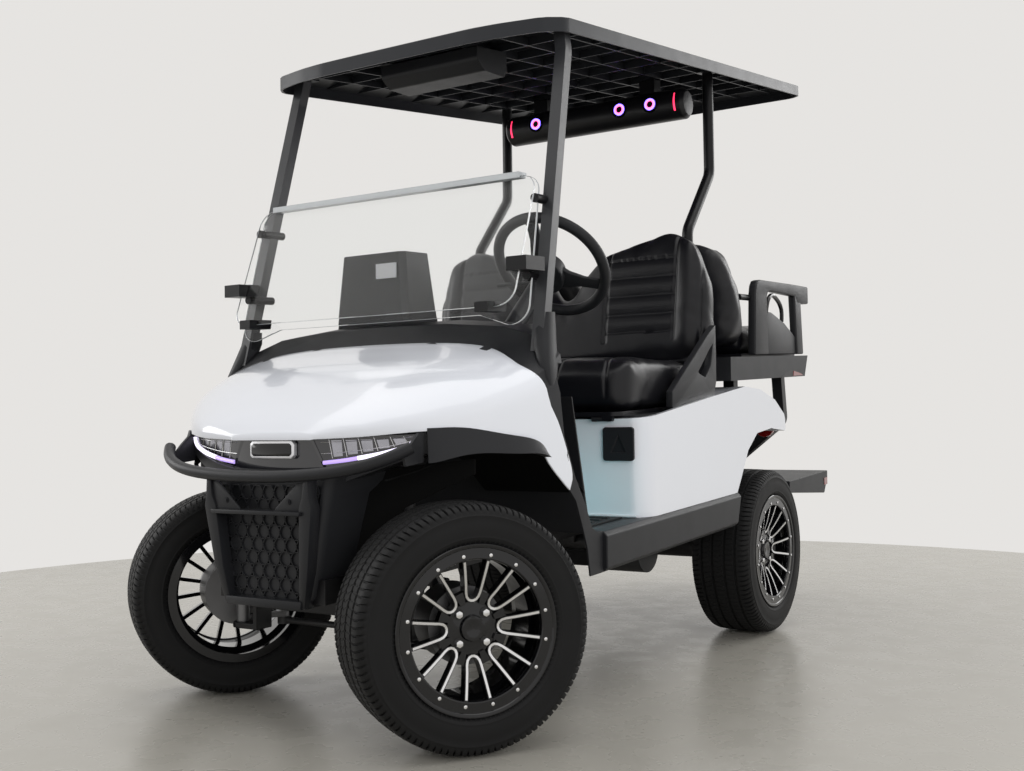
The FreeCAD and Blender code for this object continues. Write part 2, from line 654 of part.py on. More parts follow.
# Nose trim: lamp strip under the hood's lip, honeycomb fascia, and the brush guard in front
LAMP_TIP_X = 384.0
LAMP_TIP_Y = -128.0
LAMP_HEIGHT = 80.0
LENS_SHARES = ((-1.0, 1.2), (-1.0, 0.97), (-0.95, 0.62), (-0.81, 0.4), (-0.6, 0.17), (-0.36, 0.0), (0.36, 0.0),
               (0.6, 0.17), (0.81, 0.4), (0.95, 0.62), (1.0, 0.97), (1.0, 1.2))
LAMP_TOP = NOSE_Z - SEAT_GAP
LAMP_FRONT = -222.0
LAMP_DEPTH = 50.0
BADGE_HALF = 74.0
BADGE_HEIGHT = 44.0
BADGE_SHARES = ((0.06, 0.0), (0.94, 0.0), (1.0, 0.5), (0.94, 1.0), (0.06, 1.0), (0.0, 0.5))
BADGE_MIDDLE = 702.0
BADGE_THICK = 7.0
FASCIA_HALF = 166.0
FASCIA_FOOT_HALF = 108.0
FASCIA_WING = 694.0
FASCIA_NECK = 618.0
FASCIA_FOOT = 326.0
FASCIA_FRONT = -236.0
FASCIA_WALL = 16.0
FASCIA_DEPTH = 56.0
HEX_RADIUS = 17.0
HEX_PITCH = 36.0
HEX_DEPTH = 8.0
HEX_HALF_COLUMNS = 3
HEX_ROWS = 8
HEX_TOP = 588.0
GUARD_RADIUS = 15.0
GUARD_END_X = 404.0
GUARD_END_Y = -205.0
GUARD_END_Z = 708.0
GUARD_FRONT = -292.0
GUARD_DIP = 52.0
GUARD_SHARES = ((1.0, 0.0, 1.0), (0.92, 0.25, 0.9), (0.62, 0.78, 0.2), (0.3, 1.0, 0.0))
GUARD_BEND = 150.0
LEG_X = 152.0
LEG_WIDTH = 30.0
LEG_THICK = 9.0
LEG_FOOT = 332.0
LEG_SHARES = ((0.0, 1.0), (0.05, 0.8), (0.0, 0.5), (0.12, 0.0))
CROSS_HEIGHT = 26.0
CROSS_Z_SHARES = (0.0, 0.56)
CROSS_Y_SHARE = 0.1


def bow_face(tip_x, tip_y, front, depth, z):
    """The area between a bowed front edge and the same edge moved back by the depth."""
    tips = [spot(-tip_x, tip_y, z), spot(tip_x, tip_y, z)]
    shift = Vector(0, depth, RAKE * depth)
    middle = spot(0, front, z)
    fore = Part.Arc(tips[0], middle, tips[1]).toShape()
    aft = Part.Arc(tips[1] + shift, middle + shift, tips[0] + shift).toShape()
    return Part.Face(Part.Wire([fore, Part.makeLine(tips[1], tips[1] + shift), aft,
                                Part.makeLine(tips[0] + shift, tips[0])]))


def lens_prism(y0, y1):
    """The lens's outline carried through from front to back."""
    low = LAMP_TOP - LAMP_HEIGHT
    return front_slab([(u * LAMP_TIP_X, low + LAMP_HEIGHT * v) for u, v in LENS_SHARES], y0, y1)


def lamp_strip():
    low = LAMP_TOP - LAMP_HEIGHT
    strip = bow_face(LAMP_TIP_X, LAMP_TIP_Y, LAMP_FRONT, LAMP_DEPTH, low).extrude(Vector(0, 0, LAMP_HEIGHT))
    strip = strip.common(lens_prism(LAMP_FRONT - OVERRUN, LAMP_TIP_Y + LAMP_DEPTH + OVERRUN))
    save("lamp_strip", strip.Solids)
    outline = scaled(BADGE_SHARES, -BADGE_HALF, BADGE_HALF, BADGE_MIDDLE - BADGE_HEIGHT / 2,
                     BADGE_MIDDLE + BADGE_HEIGHT / 2)
    badge = front_slab(outline, LAMP_FRONT - BADGE_THICK, LAMP_FRONT + BADGE_THICK)
    save("badge_plate", [badge.cut(strip)])


def hexagon(x, z):
    points = []
    for k in range(6):
        turn = math.radians(60 * k)
        points.append((x + HEX_RADIUS * math.cos(turn), z + HEX_RADIUS * math.sin(turn)))
    return points


def fascia_form():
    deep = bow_face(LAMP_TIP_X, LAMP_TIP_Y, FASCIA_FRONT, FASCIA_DEPTH, FASCIA_FOOT)
    return deep.extrude(Vector(0, 0, LAMP_TOP - FASCIA_FOOT))


def fascia():
    """A tapered panel between the front wheels, with honeycomb pockets in its face."""
    outline = [(-FASCIA_FOOT_HALF, FASCIA_FOOT), (FASCIA_FOOT_HALF, FASCIA_FOOT), (FASCIA_HALF, FASCIA_NECK),
               (LAMP_TIP_X, FASCIA_WING), (LAMP_TIP_X, LAMP_TOP + OVERRUN), (-LAMP_TIP_X, LAMP_TOP + OVERRUN),
               (-LAMP_TIP_X, FASCIA_WING), (-FASCIA_HALF, FASCIA_NECK)]
    front = FASCIA_FRONT - OVERRUN
    panel = fascia_form().common(front_slab(outline, front, LAMP_TIP_Y + FASCIA_DEPTH))
    panel = panel.cut(lens_prism(front, LAMP_TIP_Y + LAMP_DEPTH + OVERRUN))
    panel = max(panel.Solids, key=lambda piece: piece.Volume)
    inner = [(-FASCIA_FOOT_HALF + FASCIA_WALL, FASCIA_FOOT + FASCIA_WALL),
             (FASCIA_FOOT_HALF - FASCIA_WALL, FASCIA_FOOT + FASCIA_WALL),
             (FASCIA_HALF - FASCIA_WALL, FASCIA_NECK), (-FASCIA_HALF + FASCIA_WALL, FASCIA_NECK)]
    panel = panel.cut(front_slab(inner, FASCIA_FRONT + FASCIA_WALL, LAMP_TIP_Y + FASCIA_DEPTH))
    pockets = []
    for row in range(HEX_ROWS):
        z = HEX_TOP - row * HEX_PITCH * math.sqrt(0.75)
        half = FASCIA_FOOT_HALF + (FASCIA_HALF - FASCIA_FOOT_HALF) * (z - FASCIA_FOOT) / (FASCIA_NECK - FASCIA_FOOT)
        for column in range(-HEX_HALF_COLUMNS, HEX_HALF_COLUMNS + 1):
            x = HEX_PITCH * (column + (row % 2) / 2)
            if abs(x) < LEG_X - LEG_WIDTH and abs(x) < half - HEX_PITCH / 2:
                pockets.append(front_slab(hexagon(x, z), FASCIA_FRONT - OVERRUN, FASCIA_FRONT + HEX_DEPTH))
    save("fascia", panel.cut(Part.makeCompound(pockets)).Solids)


def guard_points():
    half = []
    for u, forward, lift in GUARD_SHARES:
        y = GUARD_END_Y + (GUARD_FRONT - GUARD_END_Y) * forward
        half.append((GUARD_END_X * u, y, GUARD_END_Z - GUARD_DIP + GUARD_DIP * lift))
    return [spot(-x, y, z) for x, y, z in half] + [spot(x, y, z) for x, y, z in reversed(half)]


def guard_tube():
    return bar(guard_points(), GUARD_RADIUS, GUARD_BEND)


def brush_guard():
    """A bowed tube under the lamps on two flat legs, tied by cross bars above and below the grille."""
    solid = [guard_tube()]
    top = GUARD_END_Z - GUARD_DIP
    front = GUARD_FRONT + GUARD_RADIUS
    back = FASCIA_FRONT - SEAT_GAP
    legs = scaled(LEG_SHARES, front - GUARD_RADIUS, back, LEG_FOOT, top)
    inner = [(y + LEG_THICK, z) for y, z in reversed(legs)]
    leg = slab(legs + inner, LEG_X - LEG_WIDTH / 2, LEG_X + LEG_WIDTH / 2)
    solid += pair(leg)
    for share in CROSS_Z_SHARES:
        z = LEG_FOOT + (top - LEG_FOOT) * share
        y = front - GUARD_RADIUS + (back - front + GUARD_RADIUS) * CROSS_Y_SHARE
        solid.append(block(-LEG_X, LEG_X, y, y + LEG_THICK, z, z + CROSS_HEIGHT))
    x0 = LEG_X - LEG_THICK / 2
    foot = block(x0, x0 + LEG_THICK, front, back, RAIL_BOTTOM, RAIL_BOTTOM + CROSS_HEIGHT)
    stay = block(x0, x0 + LEG_THICK, front, back + FASCIA_DEPTH, top - CROSS_HEIGHT, top).cut(fascia_form())
    solid += pair(foot) + pair(min(stay.Solids, key=lambda piece: piece.BoundBox.YMin))
    save("brush_guard", [fused(solid)])


# Fenders: a flare over each front wheel, with a liner under it
FLARE_THICK = 44.0
FLARE_BAND = 83.0
FLARE_FRONT = -128.0
FLARE_REAR = 130.0
FLARE_LOW = 676.0
FLARE_TOP = 757.0
FLARE_SHARES = ((0.681, 0.0, 1.0, 1.0), (0.746, 0.109, 1.0, 0.92), (0.827, 0.314, 0.914, 0.72),
                (0.925, 0.628, 0.654, 0.54), (0.963, 0.837, 0.494, 0.46), (0.986, 1.0, 0.0, 0.12))
LINER_THICK = 4.0
LINER_X0 = 245.0
LINER_X1 = 560.0
LINER_SHARES = ((0.0, 0.55), (0.16, 0.9), (0.42, 1.0), (0.72, 0.86), (1.0, 0.0))
LINER_FRONT = -170.0
LINER_REAR = 352.0
LINER_LOW = 560.0
LINER_TOP = 700.0


def flare():
    """A band swept from the lamp tip over the wheel arch and down to the sill."""
    edges = [spot(half * BODY_HALF, FLARE_FRONT + (FLARE_REAR - FLARE_FRONT) * back,
                  FLARE_LOW + (FLARE_TOP - FLARE_LOW) * up) for half, back, up, tall in FLARE_SHARES]
    wires = []
    for k in range(len(edges)):
        along = edges[min(k + 1, len(edges) - 1)] - edges[max(k - 1, 0)]
        out = ALONG_Z.cross(along).normalize()
        if out.x < 0:
            out = out * -1
        down = along.cross(out).normalize()
        if down.z > 0:
            down = down * -1
        edge = edges[k]
        lip = edge + down * (FLARE_BAND * FLARE_SHARES[k][-1]) + out * (FLARE_THICK / 2)
        ring = [edge, lip, lip - out * FLARE_THICK, edge - out * FLARE_THICK]
        wires.append(Part.makePolygon(ring + ring[:1]))
    return Part.makeLoft(wires, True, False)


def fenders():
    band = flare().cut(nose_form(0)).cut(fascia_form())
    solids = sorted(band.Solids, key=lambda solid: -solid.Volume)
    save("front_flares", pair(solids[0]))
    line = scaled(LINER_SHARES, LINER_FRONT, LINER_REAR, LINER_LOW, LINER_TOP)
    under = [(y, z - LINER_THICK) for y, z in reversed(line)]
    liner = slab(line + under, LINER_X0, LINER_X1).common(nose_form(SKIN + SEAT_GAP)).cut(fascia_form())
    save("front_liners", pair(max(liner.Solids, key=lambda piece: piece.Volume)))


# Floor: ribbed pan and toe board, with a stepped sill along each side
SILL_OUT = 602.0
SILL_IN = 535.0
SILL_WALL = 570.0
SILL_TOP = 450.0
SILL_LOW = 342.0
SILL_EDGE = 12.0
SILL_LIP = 30.0
SILL_FRONT = NOSE_Y + (COWL_REAR - NOSE_Y) * COWL_FOOT_SHARE + SEAT_GAP
FLOOR_HALF = SILL_IN - SEAT_GAP
FLOOR_FRONT = 422.0
FLOOR_REAR = 700.0
FLOOR_TOP = SILL_TOP - SEAT_GAP
FLOOR_THICK = 12.0
REAR_FRONT = 671.0
DASH_LOW = 812.0
TOE_TOP_Y = 335.0
TOE_TOP_Z = DASH_LOW - SEAT_GAP
TOE_THICK = 5.0
SILL_REAR = 1372.0
SILL_TAIL = 40.0
MAT_THICK = 5.0
MAT_INSET = 18.0
RIB_WIDTH = 14.0
RIB_PITCH = 46.0
RIB_HEIGHT = 5.0
PEDAL_WIDTH = 70.0
PEDAL_HEIGHT = 90.0
PEDAL_THICK = 12.0
PEDAL_X = (250.0, 370.0)
PEDAL_ARM = 9.0


def floor_pan():
    deck = block(-FLOOR_HALF, FLOOR_HALF, FLOOR_FRONT, FLOOR_REAR, FLOOR_TOP - FLOOR_THICK, FLOOR_TOP)
    toe = slab([(FLOOR_FRONT, FLOOR_TOP - FLOOR_THICK), (FLOOR_FRONT + TOE_THICK, FLOOR_TOP),
                (TOE_TOP_Y + TOE_THICK, TOE_TOP_Z), (TOE_TOP_Y, TOE_TOP_Z)], -FLOOR_HALF, FLOOR_HALF)
    solid = [deck, toe]
    for side in (1, -1):
        rib = block(side * RAIL_X - RAIL_WIDTH / 2, side * RAIL_X + RAIL_WIDTH / 2, FLOOR_FRONT, FLOOR_REAR,
                    RAIL_TOP, FLOOR_TOP - FLOOR_THICK)
        solid.append(rib)
    save("floor_pan", [fused(solid)])


def floor_mat():
    low = FLOOR_TOP
    rear = REAR_FRONT - MAT_INSET
    base = block(-FLOOR_HALF + MAT_INSET, FLOOR_HALF - MAT_INSET, FLOOR_FRONT + MAT_INSET, rear, low, low + MAT_THICK)
    ribs = [base]
    count = int((rear - FLOOR_FRONT - 3 * MAT_INSET) / RIB_PITCH)
    for k in range(count + 1):
        y = FLOOR_FRONT + 2 * MAT_INSET + k * RIB_PITCH
        ribs.append(block(-FLOOR_HALF + 2 * MAT_INSET, FLOOR_HALF - 2 * MAT_INSET, y, y + RIB_WIDTH, low,
                          low + MAT_THICK + RIB_HEIGHT))
    save("floor_mat", [fused(ribs)])


def sills():
    section = [(SILL_IN, SILL_TOP), (SILL_OUT - SILL_EDGE, SILL_TOP), (SILL_OUT, SILL_TOP - SILL_EDGE),
               (SILL_OUT, SILL_LOW + SILL_EDGE), (SILL_OUT - SILL_EDGE, SILL_LOW), (SILL_WALL, SILL_LOW),
               (SILL_WALL, SILL_TOP - SILL_LIP), (SILL_IN, SILL_TOP - SILL_LIP)]
    sill = front_slab(section, SILL_FRONT, SILL_REAR)
    side = slab([(SILL_FRONT, SILL_LOW), (SILL_REAR - SILL_TAIL, SILL_LOW), (SILL_REAR, SILL_TOP),
                 (SILL_FRONT, SILL_TOP)], 0, SILL_OUT + OVERRUN)
    save("sills", pair(sill.common(side)))


def pedals():
    """Brake and drive pedals hung against the toe board."""
    lean = (FLOOR_FRONT - TOE_TOP_Y) / (TOE_TOP_Z - FLOOR_TOP)
    low = FLOOR_TOP + PEDAL_HEIGHT / 2
    high = low + PEDAL_HEIGHT
    solid = []
    for x in PEDAL_X:
        y = FLOOR_FRONT + TOE_THICK + PEDAL_HEIGHT / 2
        pad = slab([(y, low), (y + PEDAL_THICK, low), (y + PEDAL_THICK - lean * PEDAL_HEIGHT, high),
                    (y - lean * PEDAL_HEIGHT, high)], x - PEDAL_WIDTH / 2, x + PEDAL_WIDTH / 2)
        top = TOE_TOP_Z - PEDAL_HEIGHT
        toe_y = FLOOR_FRONT + TOE_THICK - lean * (top - FLOOR_TOP)
        arm = rod(spot(x, y - lean * PEDAL_HEIGHT / 2, (low + high) / 2), spot(x, toe_y + PEDAL_ARM, top), PEDAL_ARM)
        foot = rod(spot(x, toe_y + PEDAL_ARM + PEDAL_ARM, top), spot(x, toe_y - PEDAL_ARM, top), PEDAL_ARM)
        solid.append(fused([pad, arm, foot]))
    return solid


def save_pedals():
    toe = slab([(FLOOR_FRONT - OVERRUN, FLOOR_TOP), (FLOOR_FRONT + TOE_THICK, FLOOR_TOP),
                (TOE_TOP_Y + TOE_THICK, TOE_TOP_Z), (TOE_TOP_Y - OVERRUN, TOE_TOP_Z)], -FLOOR_HALF, FLOOR_HALF)
    save("pedals", [pedal.cut(toe) for pedal in pedals()])


# Dashboard: a hollow moulded box that carries on the cowl's crown, with a raised pod on its top
DASH_HALF = 512.0
DASH_REAR_HALF = 372.0
DASH_FRONT = COWL_REAR + SEAT_GAP
DASH_REAR = 540.0
DASH_WALL = 6.0
DASH_SHOULDER_SHARE = 0.33
DASH_SHARES = ((0.0, 0.0), (0.28, 0.0), (0.62, 0.26), (0.78, 0.70), (1.0, 0.84), (0.96, 0.98), (0.86, 1.0), (0.0, 1.0))
POD_X0 = -282.0
POD_X1 = -2.0
POD_Y0 = 330.0
POD_Y1 = 500.0
POD_HEIGHT = 214.0
POD_TAPER = 22.0
POD_WALL = 5.0
POD_CORNER = 16.0
DASH_TOP = NOSE_Z + COWL_RISE


def dash_form(inset, front):
    """The crown's cross-section carried back over the dashboard, drawn in by the inset."""
    section = arch_wire(front, DASH_HALF - inset, NOSE_Z + COWL_RISE * DASH_SHOULDER_SHARE, DASH_TOP - inset, DASH_LOW)
    depth = DASH_REAR - front
    return Part.Face(section).extrude(Vector(0, depth, RAKE * depth))


def dash_plan(inset):
    """The dashboard's plan: wide at the cowl and narrower towards the driver."""
    a = DASH_HALF - inset
    b = DASH_REAR_HALF - inset
    return plate([(-a, DASH_FRONT - OVERRUN), (a, DASH_FRONT - OVERRUN), (a, DASH_FRONT), (b, DASH_REAR),
                  (-b, DASH_REAR), (-a, DASH_FRONT)], DASH_LOW - OVERRUN, DASH_TOP + OVERRUN)


def dashboard():
    outline = scaled(DASH_SHARES, DASH_FRONT, DASH_REAR, DASH_LOW, DASH_TOP)
    solid = slab(outline, -DASH_HALF, DASH_HALF).common(dash_form(0, DASH_FRONT)).common(dash_plan(0))
    inner = [(y - DASH_WALL, z + DASH_WALL) for y, z in outline[1:4]]
    inner += [(y - DASH_WALL, z) for y, z in outline[4:6]]
    inner += [(outline[6][0] - DASH_WALL, DASH_TOP - DASH_WALL), (DASH_FRONT - OVERRUN, DASH_TOP - DASH_WALL),
              (DASH_FRONT - OVERRUN, DASH_LOW + DASH_WALL)]
    hollow = slab(inner, -DASH_HALF + DASH_WALL, DASH_HALF - DASH_WALL)
    hollow = hollow.common(dash_form(DASH_WALL, DASH_FRONT - OVERRUN)).common(dash_plan(DASH_WALL))
    return solid.cut(hollow)


def pod():
    """A tapered hollow hood that stands on the dashboard's top."""
    def ring(z, inset):
        wire = [spot(POD_X0 + inset, POD_Y0 + inset / 2, z), spot(POD_X1 - inset, POD_Y0 + inset / 2, z),
                spot(POD_X1 - inset, POD_Y1 - inset, z), spot(POD_X0 + inset, POD_Y1 - inset, z)]
        return closed_polygon(cut_corners(wire, POD_CORNER))
    top = DASH_TOP + POD_HEIGHT
    outer = Part.makeLoft([ring(DASH_TOP - POD_TAPER, 0), ring(top, POD_TAPER)], True, True)
    inner = Part.makeLoft([ring(DASH_TOP - POD_TAPER * 2, POD_WALL), ring(top - POD_WALL, POD_TAPER + POD_WALL)],
                          True, True)
    return outer.cut(inner).cut(dash_form(0, DASH_FRONT))


# Steering: inclined column through the dashboard, with a three-spoke wheel
WHEEL_X = 292.0
WHEEL_Y = 656.0
WHEEL_Z = 1200.0
WHEEL_TILT = 42.0
WHEEL_RADIUS = 172.0
GRIP_RADIUS = 14.0
GRIP_SIDES = 8
WHEEL_HUB_RADIUS = 44.0
WHEEL_HUB_HEIGHT = 46.0
WHEEL_DISH = 34.0
WHEEL_SPOKES = (30.0, 150.0, 270.0)
WHEEL_SPOKE_WIDTH = 30.0
WHEEL_SPOKE_THICK = 10.0
COLUMN_RADIUS = 27.0
COLUMN_LENGTH = 420.0
STALK_RADIUS = 6.0
STALK_LENGTH = 150.0


def place_on_column(shape):
    """Turns a piece built about +Z so that it stands on the steering axis at the wheel's centre."""
    placed = shape.copy()
    placed.rotate(ORIGIN, ALONG_X, WHEEL_TILT - 90)
    placed.translate(spot(WHEEL_X, WHEEL_Y, WHEEL_Z))
    return placed


def steering_wheel():
    turns = [2 * math.pi * k / GRIP_SIDES for k in range(GRIP_SIDES)]
    grip = [Vector(WHEEL_RADIUS + GRIP_RADIUS * math.cos(turn), 0, GRIP_RADIUS * math.sin(turn)) for turn in turns]
    ring = polygon_face(grip).revolve(ORIGIN, ALONG_Z, 360)
    hub = Part.makeCylinder(WHEEL_HUB_RADIUS, WHEEL_HUB_HEIGHT, Vector(0, 0, -WHEEL_DISH - WHEEL_HUB_HEIGHT / 2))
    solid = [ring, hub]
    half = WHEEL_SPOKE_WIDTH / 2
    for angle in WHEEL_SPOKES:
        low = -WHEEL_DISH
        thick = Vector(0, WHEEL_SPOKE_WIDTH, 0)
        root = [Vector(0, -half, low - WHEEL_SPOKE_THICK), Vector(WHEEL_RADIUS, -half, -WHEEL_SPOKE_THICK / 2),
                Vector(WHEEL_RADIUS, -half, WHEEL_SPOKE_THICK / 2), Vector(0, -half, low)]
        blade = polygon_face(root).extrude(thick)
        blade.rotate(ORIGIN, ALONG_Z, angle)
        solid.append(blade)
    save("steering_wheel", [place_on_column(fused(solid))])


def steering_column():
    """The column stops just under the wheel's hub and ends inside the dashboard's opening."""
    top = -WHEEL_DISH - WHEEL_HUB_HEIGHT / 2 - HUB_GAP
    tube = Part.makeCylinder(COLUMN_RADIUS, COLUMN_LENGTH, Vector(0, 0, top - COLUMN_LENGTH))
    stalk = Part.makeCylinder(STALK_RADIUS, STALK_LENGTH, Vector(0, 0, top - COLUMN_RADIUS), -ALONG_X)
    column = place_on_column(fused([tube, stalk]))
    shell = dashboard()
    save("dashboard", [shell.cut(place_on_column(tube))])
    save("steering_column", [column])
    save("dash_pod", [pod()])


# Rear body: hollow moulding with an apron, a deck over the wheels, arches in its sides and a well for the seat
REAR_END = 1872.0
REAR_LOW = SILL_TOP
REAR_TOP = 805.0
REAR_CORNER = 60.0
REAR_SHARES = ((0.0, 0.0), (0.0, 0.8056), (0.42, 0.935), (0.65, 1.0), (0.77, 0.96), (0.895, 0.84), (0.975, 0.68),
               (1.0, 0.50), (0.86, 0.555), (0.74, 0.53), (0.665, 0.38), (0.61, 0.14), (0.575, 0.0))
REAR_INNER_SHARES = ((0.0, -0.5), (0.0, 0.8056), (0.42, 0.935), (0.65, 1.0), (0.77, 0.96), (0.895, 0.84),
                     (0.975, 0.68), (1.0, 0.50), (1.0, -0.5))
SEAT_LOW = 744.0
SEAT_DECK_THICK = 8.0
WELL_HALF = 575.0
WELL_REAR = 1196.0
WELL_LEDGE = 30.0
WELL_RISER = 36.0
BAY_HALF = 440.0
BAY_FRONT = 762.0
BAY_REAR = 1140.0
HINGE_RADIUS = 7.0
HINGE_PIN = 3.0
HINGE_LENGTH = 34.0
HINGE_GAP = 1.0
SEAT_HINGE_X = 420.0
SEAT_HINGE_Y = 660.0
SEAT_HINGE_Z = SEAT_LOW - HINGE_RADIUS - HINGE_GAP
PORT_X0 = 452.0
PORT_X1 = 552.0
PORT_Z0 = 614.0
PORT_Z1 = 712.0
PORT_THICK = 9.0
PORT_POCKET = 5.0
PORT_CORNER = 10.0


def rear_outline(shares, inset):
    return scaled(shares, REAR_FRONT + inset, REAR_END - inset, REAR_LOW, REAR_TOP - inset)


def rear_form(shares, inset):
    """The rear body's solid, with rounded upright corners at the front and eased top edges."""
    half = BODY_HALF - inset
    side = slab(rear_outline(shares, inset), -half, half)
    y0 = REAR_FRONT + inset
    y1 = REAR_END - inset
    tail = y1 + OVERRUN
    return side.common(cut_plate(-half, half, y0, tail, REAR_CORNER - inset, REAR_LOW - REAR_TOP, REAR_TOP + OVERRUN))


def well_plan(inset, z0, z1):
    """The seat well's plan, drawn in by the inset and raised from z0 to z1."""
    margin = BODY_HALF - WELL_HALF + inset
    half = BODY_HALF - margin
    front = REAR_FRONT + margin
    rear = WELL_REAR - inset
    return cut_plate(-half, half, front, rear, REAR_CORNER - margin, z0, z1)


def rear_body():
    shell = rear_form(REAR_SHARES, 0).cut(rear_form(REAR_INNER_SHARES, SKIN))
    deck_low = SEAT_LOW - SEAT_DECK_THICK
    well = well_plan(0, deck_low, REAR_TOP + OVERRUN).fuse(well_plan(WELL_LEDGE, deck_low - WELL_LEDGE, deck_low))
    save("rear_body", shell.cut(well).Solids)


def hinge_eye(x, y, z, radius):
    return rod(spot(x, y, z), spot(x + HINGE_LENGTH, y, z), radius)


def seat_deck():
    """A plate in the well that carries the cushion, open over the battery, with the fixed hinge eyes in front."""
    low = SEAT_LOW - SEAT_DECK_THICK
    inside = rear_form(REAR_INNER_SHARES, SKIN + SEAT_GAP)
    band = block(-BODY_HALF, BODY_HALF, REAR_FRONT, WELL_REAR - SEAT_GAP, low, SEAT_LOW)
    riser_y = WELL_REAR - SEAT_GAP - SEAT_DECK_THICK
    reach = WELL_HALF - REAR_CORNER
    riser = block(-reach, reach, riser_y, riser_y + SEAT_DECK_THICK, low, SEAT_LOW + WELL_RISER)
    deck = fused([well_plan(SEAT_GAP, low, SEAT_LOW), inside.common(band), riser])
    deck = deck.cut(block(-BAY_HALF, BAY_HALF, BAY_FRONT, BAY_REAR, low - OVERRUN, SEAT_LOW + OVERRUN))
    tab = block(SEAT_HINGE_X, SEAT_HINGE_X + HINGE_LENGTH, SEAT_HINGE_Y, REAR_FRONT, SEAT_HINGE_Z - HINGE_RADIUS,
                SEAT_HINGE_Z)
    pin_end = SEAT_HINGE_X + HINGE_LENGTH + HINGE_GAP
    tab = fused([tab, hinge_eye(SEAT_HINGE_X, SEAT_HINGE_Y, SEAT_HINGE_Z, HINGE_RADIUS),
                 hinge_eye(pin_end, SEAT_HINGE_Y, SEAT_HINGE_Z, HINGE_PIN),
                 hinge_eye(pin_end - HINGE_LENGTH / 2, SEAT_HINGE_Y, SEAT_HINGE_Z, HINGE_PIN)])
    save("seat_deck", [deck] + pair(tab))


def charge_port():
    """A recessed charging panel on the apron under the seat."""
    outline = [(PORT_X0, PORT_Z0), (PORT_X1, PORT_Z0), (PORT_X1, PORT_Z1), (PORT_X0, PORT_Z1)]
    face = REAR_FRONT - PORT_THICK
    wire = rounded_wire([spot(x, face, z) for x, z in outline], PORT_CORNER)
    cover = Part.Face(wire).extrude(Vector(0, PORT_THICK, RAKE * PORT_THICK))
    middle = (PORT_X0 + PORT_X1) / 2
    reach = (PORT_Z1 - PORT_Z0) / 2
    pocket = [(middle - reach / 2, PORT_Z0 + reach / 2), (middle + reach / 2, PORT_Z0 + reach / 2),
              (middle, PORT_Z1 - reach / 2)]
    save("charge_port", [cover.cut(front_slab(pocket, face - OVERRUN, face + PORT_POCKET))])


# Front seat: a lift-up cushion on a board, and a fixed backrest with two domed halves
SEAT_HALF = 545.0
SEAT_FRONT = 640.0
SEAT_REAR = 1180.0
BOARD_THICK = 12.0
CUSHION_SHARES = ((0.0, 0.12), (0.0, 0.72), (0.08, 0.96), (0.3, 1.0), (0.65, 0.92), (1.0, 0.9), (1.0, 0.0), (0.04, 0.0))
CUSHION_HEIGHT = 158.0
CUSHION_CORNER = 34.0
CUSHION_PLAN = 70.0
BACK_LOW = 880.0
BACK_TOP = 1328.0
BACK_SHARES = ((-1.0, 0.0), (-1.0, 0.60), (-0.93, 0.86), (-0.76, 0.985), (-0.5, 1.0), (-0.28, 0.94), (-0.13, 0.76),
               (-0.05, 0.58), (0.05, 0.58), (0.13, 0.76), (0.28, 0.94), (0.5, 1.0), (0.76, 0.985), (0.93, 0.86),
               (1.0, 0.60), (1.0, 0.0))
BACK_FRONT_LOW = 1190.0
BACK_FRONT_TOP = 1262.0
BACK_CORNER = 60.0


def cushion(y0, y1, z0, z1, half, plan_corner):
    """A cushion's plain solid: rolled front edge, rounded plan."""
    side = rounded_slab(scaled(CUSHION_SHARES, y0, y1, z0, z1), CUSHION_CORNER, -half, half)
    outline = [(-half, y0), (half, y0), (half, y1), (-half, y1)]
    if y1 < y0:
        outline = [(-half, y1), (half, y1), (half, y0), (-half, y0)]
    return side.common(rounded_plate(outline, plan_corner, z0 - OVERRUN, z1 + OVERRUN))


def leaning_back(fore, aft, low, top):
    """A double-domed backrest between two leaning faces, each given by its y at the bottom and at the top."""
    outline = scaled(BACK_SHARES, 0, SEAT_HALF, low, top)
    wires = []
    for y_low, y_top in (fore, aft):
        points = [spot(x, y_low + (y_top - y_low) * (z - low) / (top - low), z) for x, z in outline]
        wires.append(rounded_wire(points, BACK_CORNER))
    return Part.makeLoft(wires, True, True)


def strut_faces():
    """The y of the rear struts' upright lengths, in front and behind, where the backrests meet them."""
    reach = REAR_STRUT_RADIUS + SEAT_GAP
    return REAR_STRUT_LOW_Y - reach, REAR_STRUT_LOW_Y + reach


def front_seat():
    board_low = SEAT_LOW + SEAT_GAP
    board_top = board_low + BOARD_THICK
    half = SEAT_HALF - CUSHION_CORNER
    front = SEAT_HINGE_Y - HINGE_RADIUS
    board = rounded_plate([(-half, front), (half, front), (half, SEAT_REAR), (-half, SEAT_REAR)], HINGE_LENGTH,
                          board_low, board_top)
    x = SEAT_HINGE_X + HINGE_LENGTH + HINGE_GAP
    strap = block(x, x + HINGE_LENGTH, front, SEAT_HINGE_Y + HINGE_RADIUS, SEAT_HINGE_Z, board_low)
    eye = fused([strap, hinge_eye(x, SEAT_HINGE_Y, SEAT_HINGE_Z, HINGE_RADIUS)])
    bore = hinge_eye(x - HINGE_GAP, SEAT_HINGE_Y, SEAT_HINGE_Z, HINGE_PIN + PIN_GAP)
    eye = eye.cut(bore.fuse(hinge_eye(x + HINGE_GAP, SEAT_HINGE_Y, SEAT_HINGE_Z, HINGE_PIN + PIN_GAP)))
    save("front_cushion_board", [fused([board] + pair(eye))])
    save("front_cushion", [cushion(SEAT_FRONT, SEAT_REAR, board_top, board_top + CUSHION_HEIGHT, SEAT_HALF,
                                   CUSHION_PLAN)])
    back_y = strut_faces()[0]
    save("front_backrest", [leaning_back((BACK_FRONT_LOW, BACK_FRONT_TOP), (back_y, back_y), BACK_LOW, BACK_TOP)])


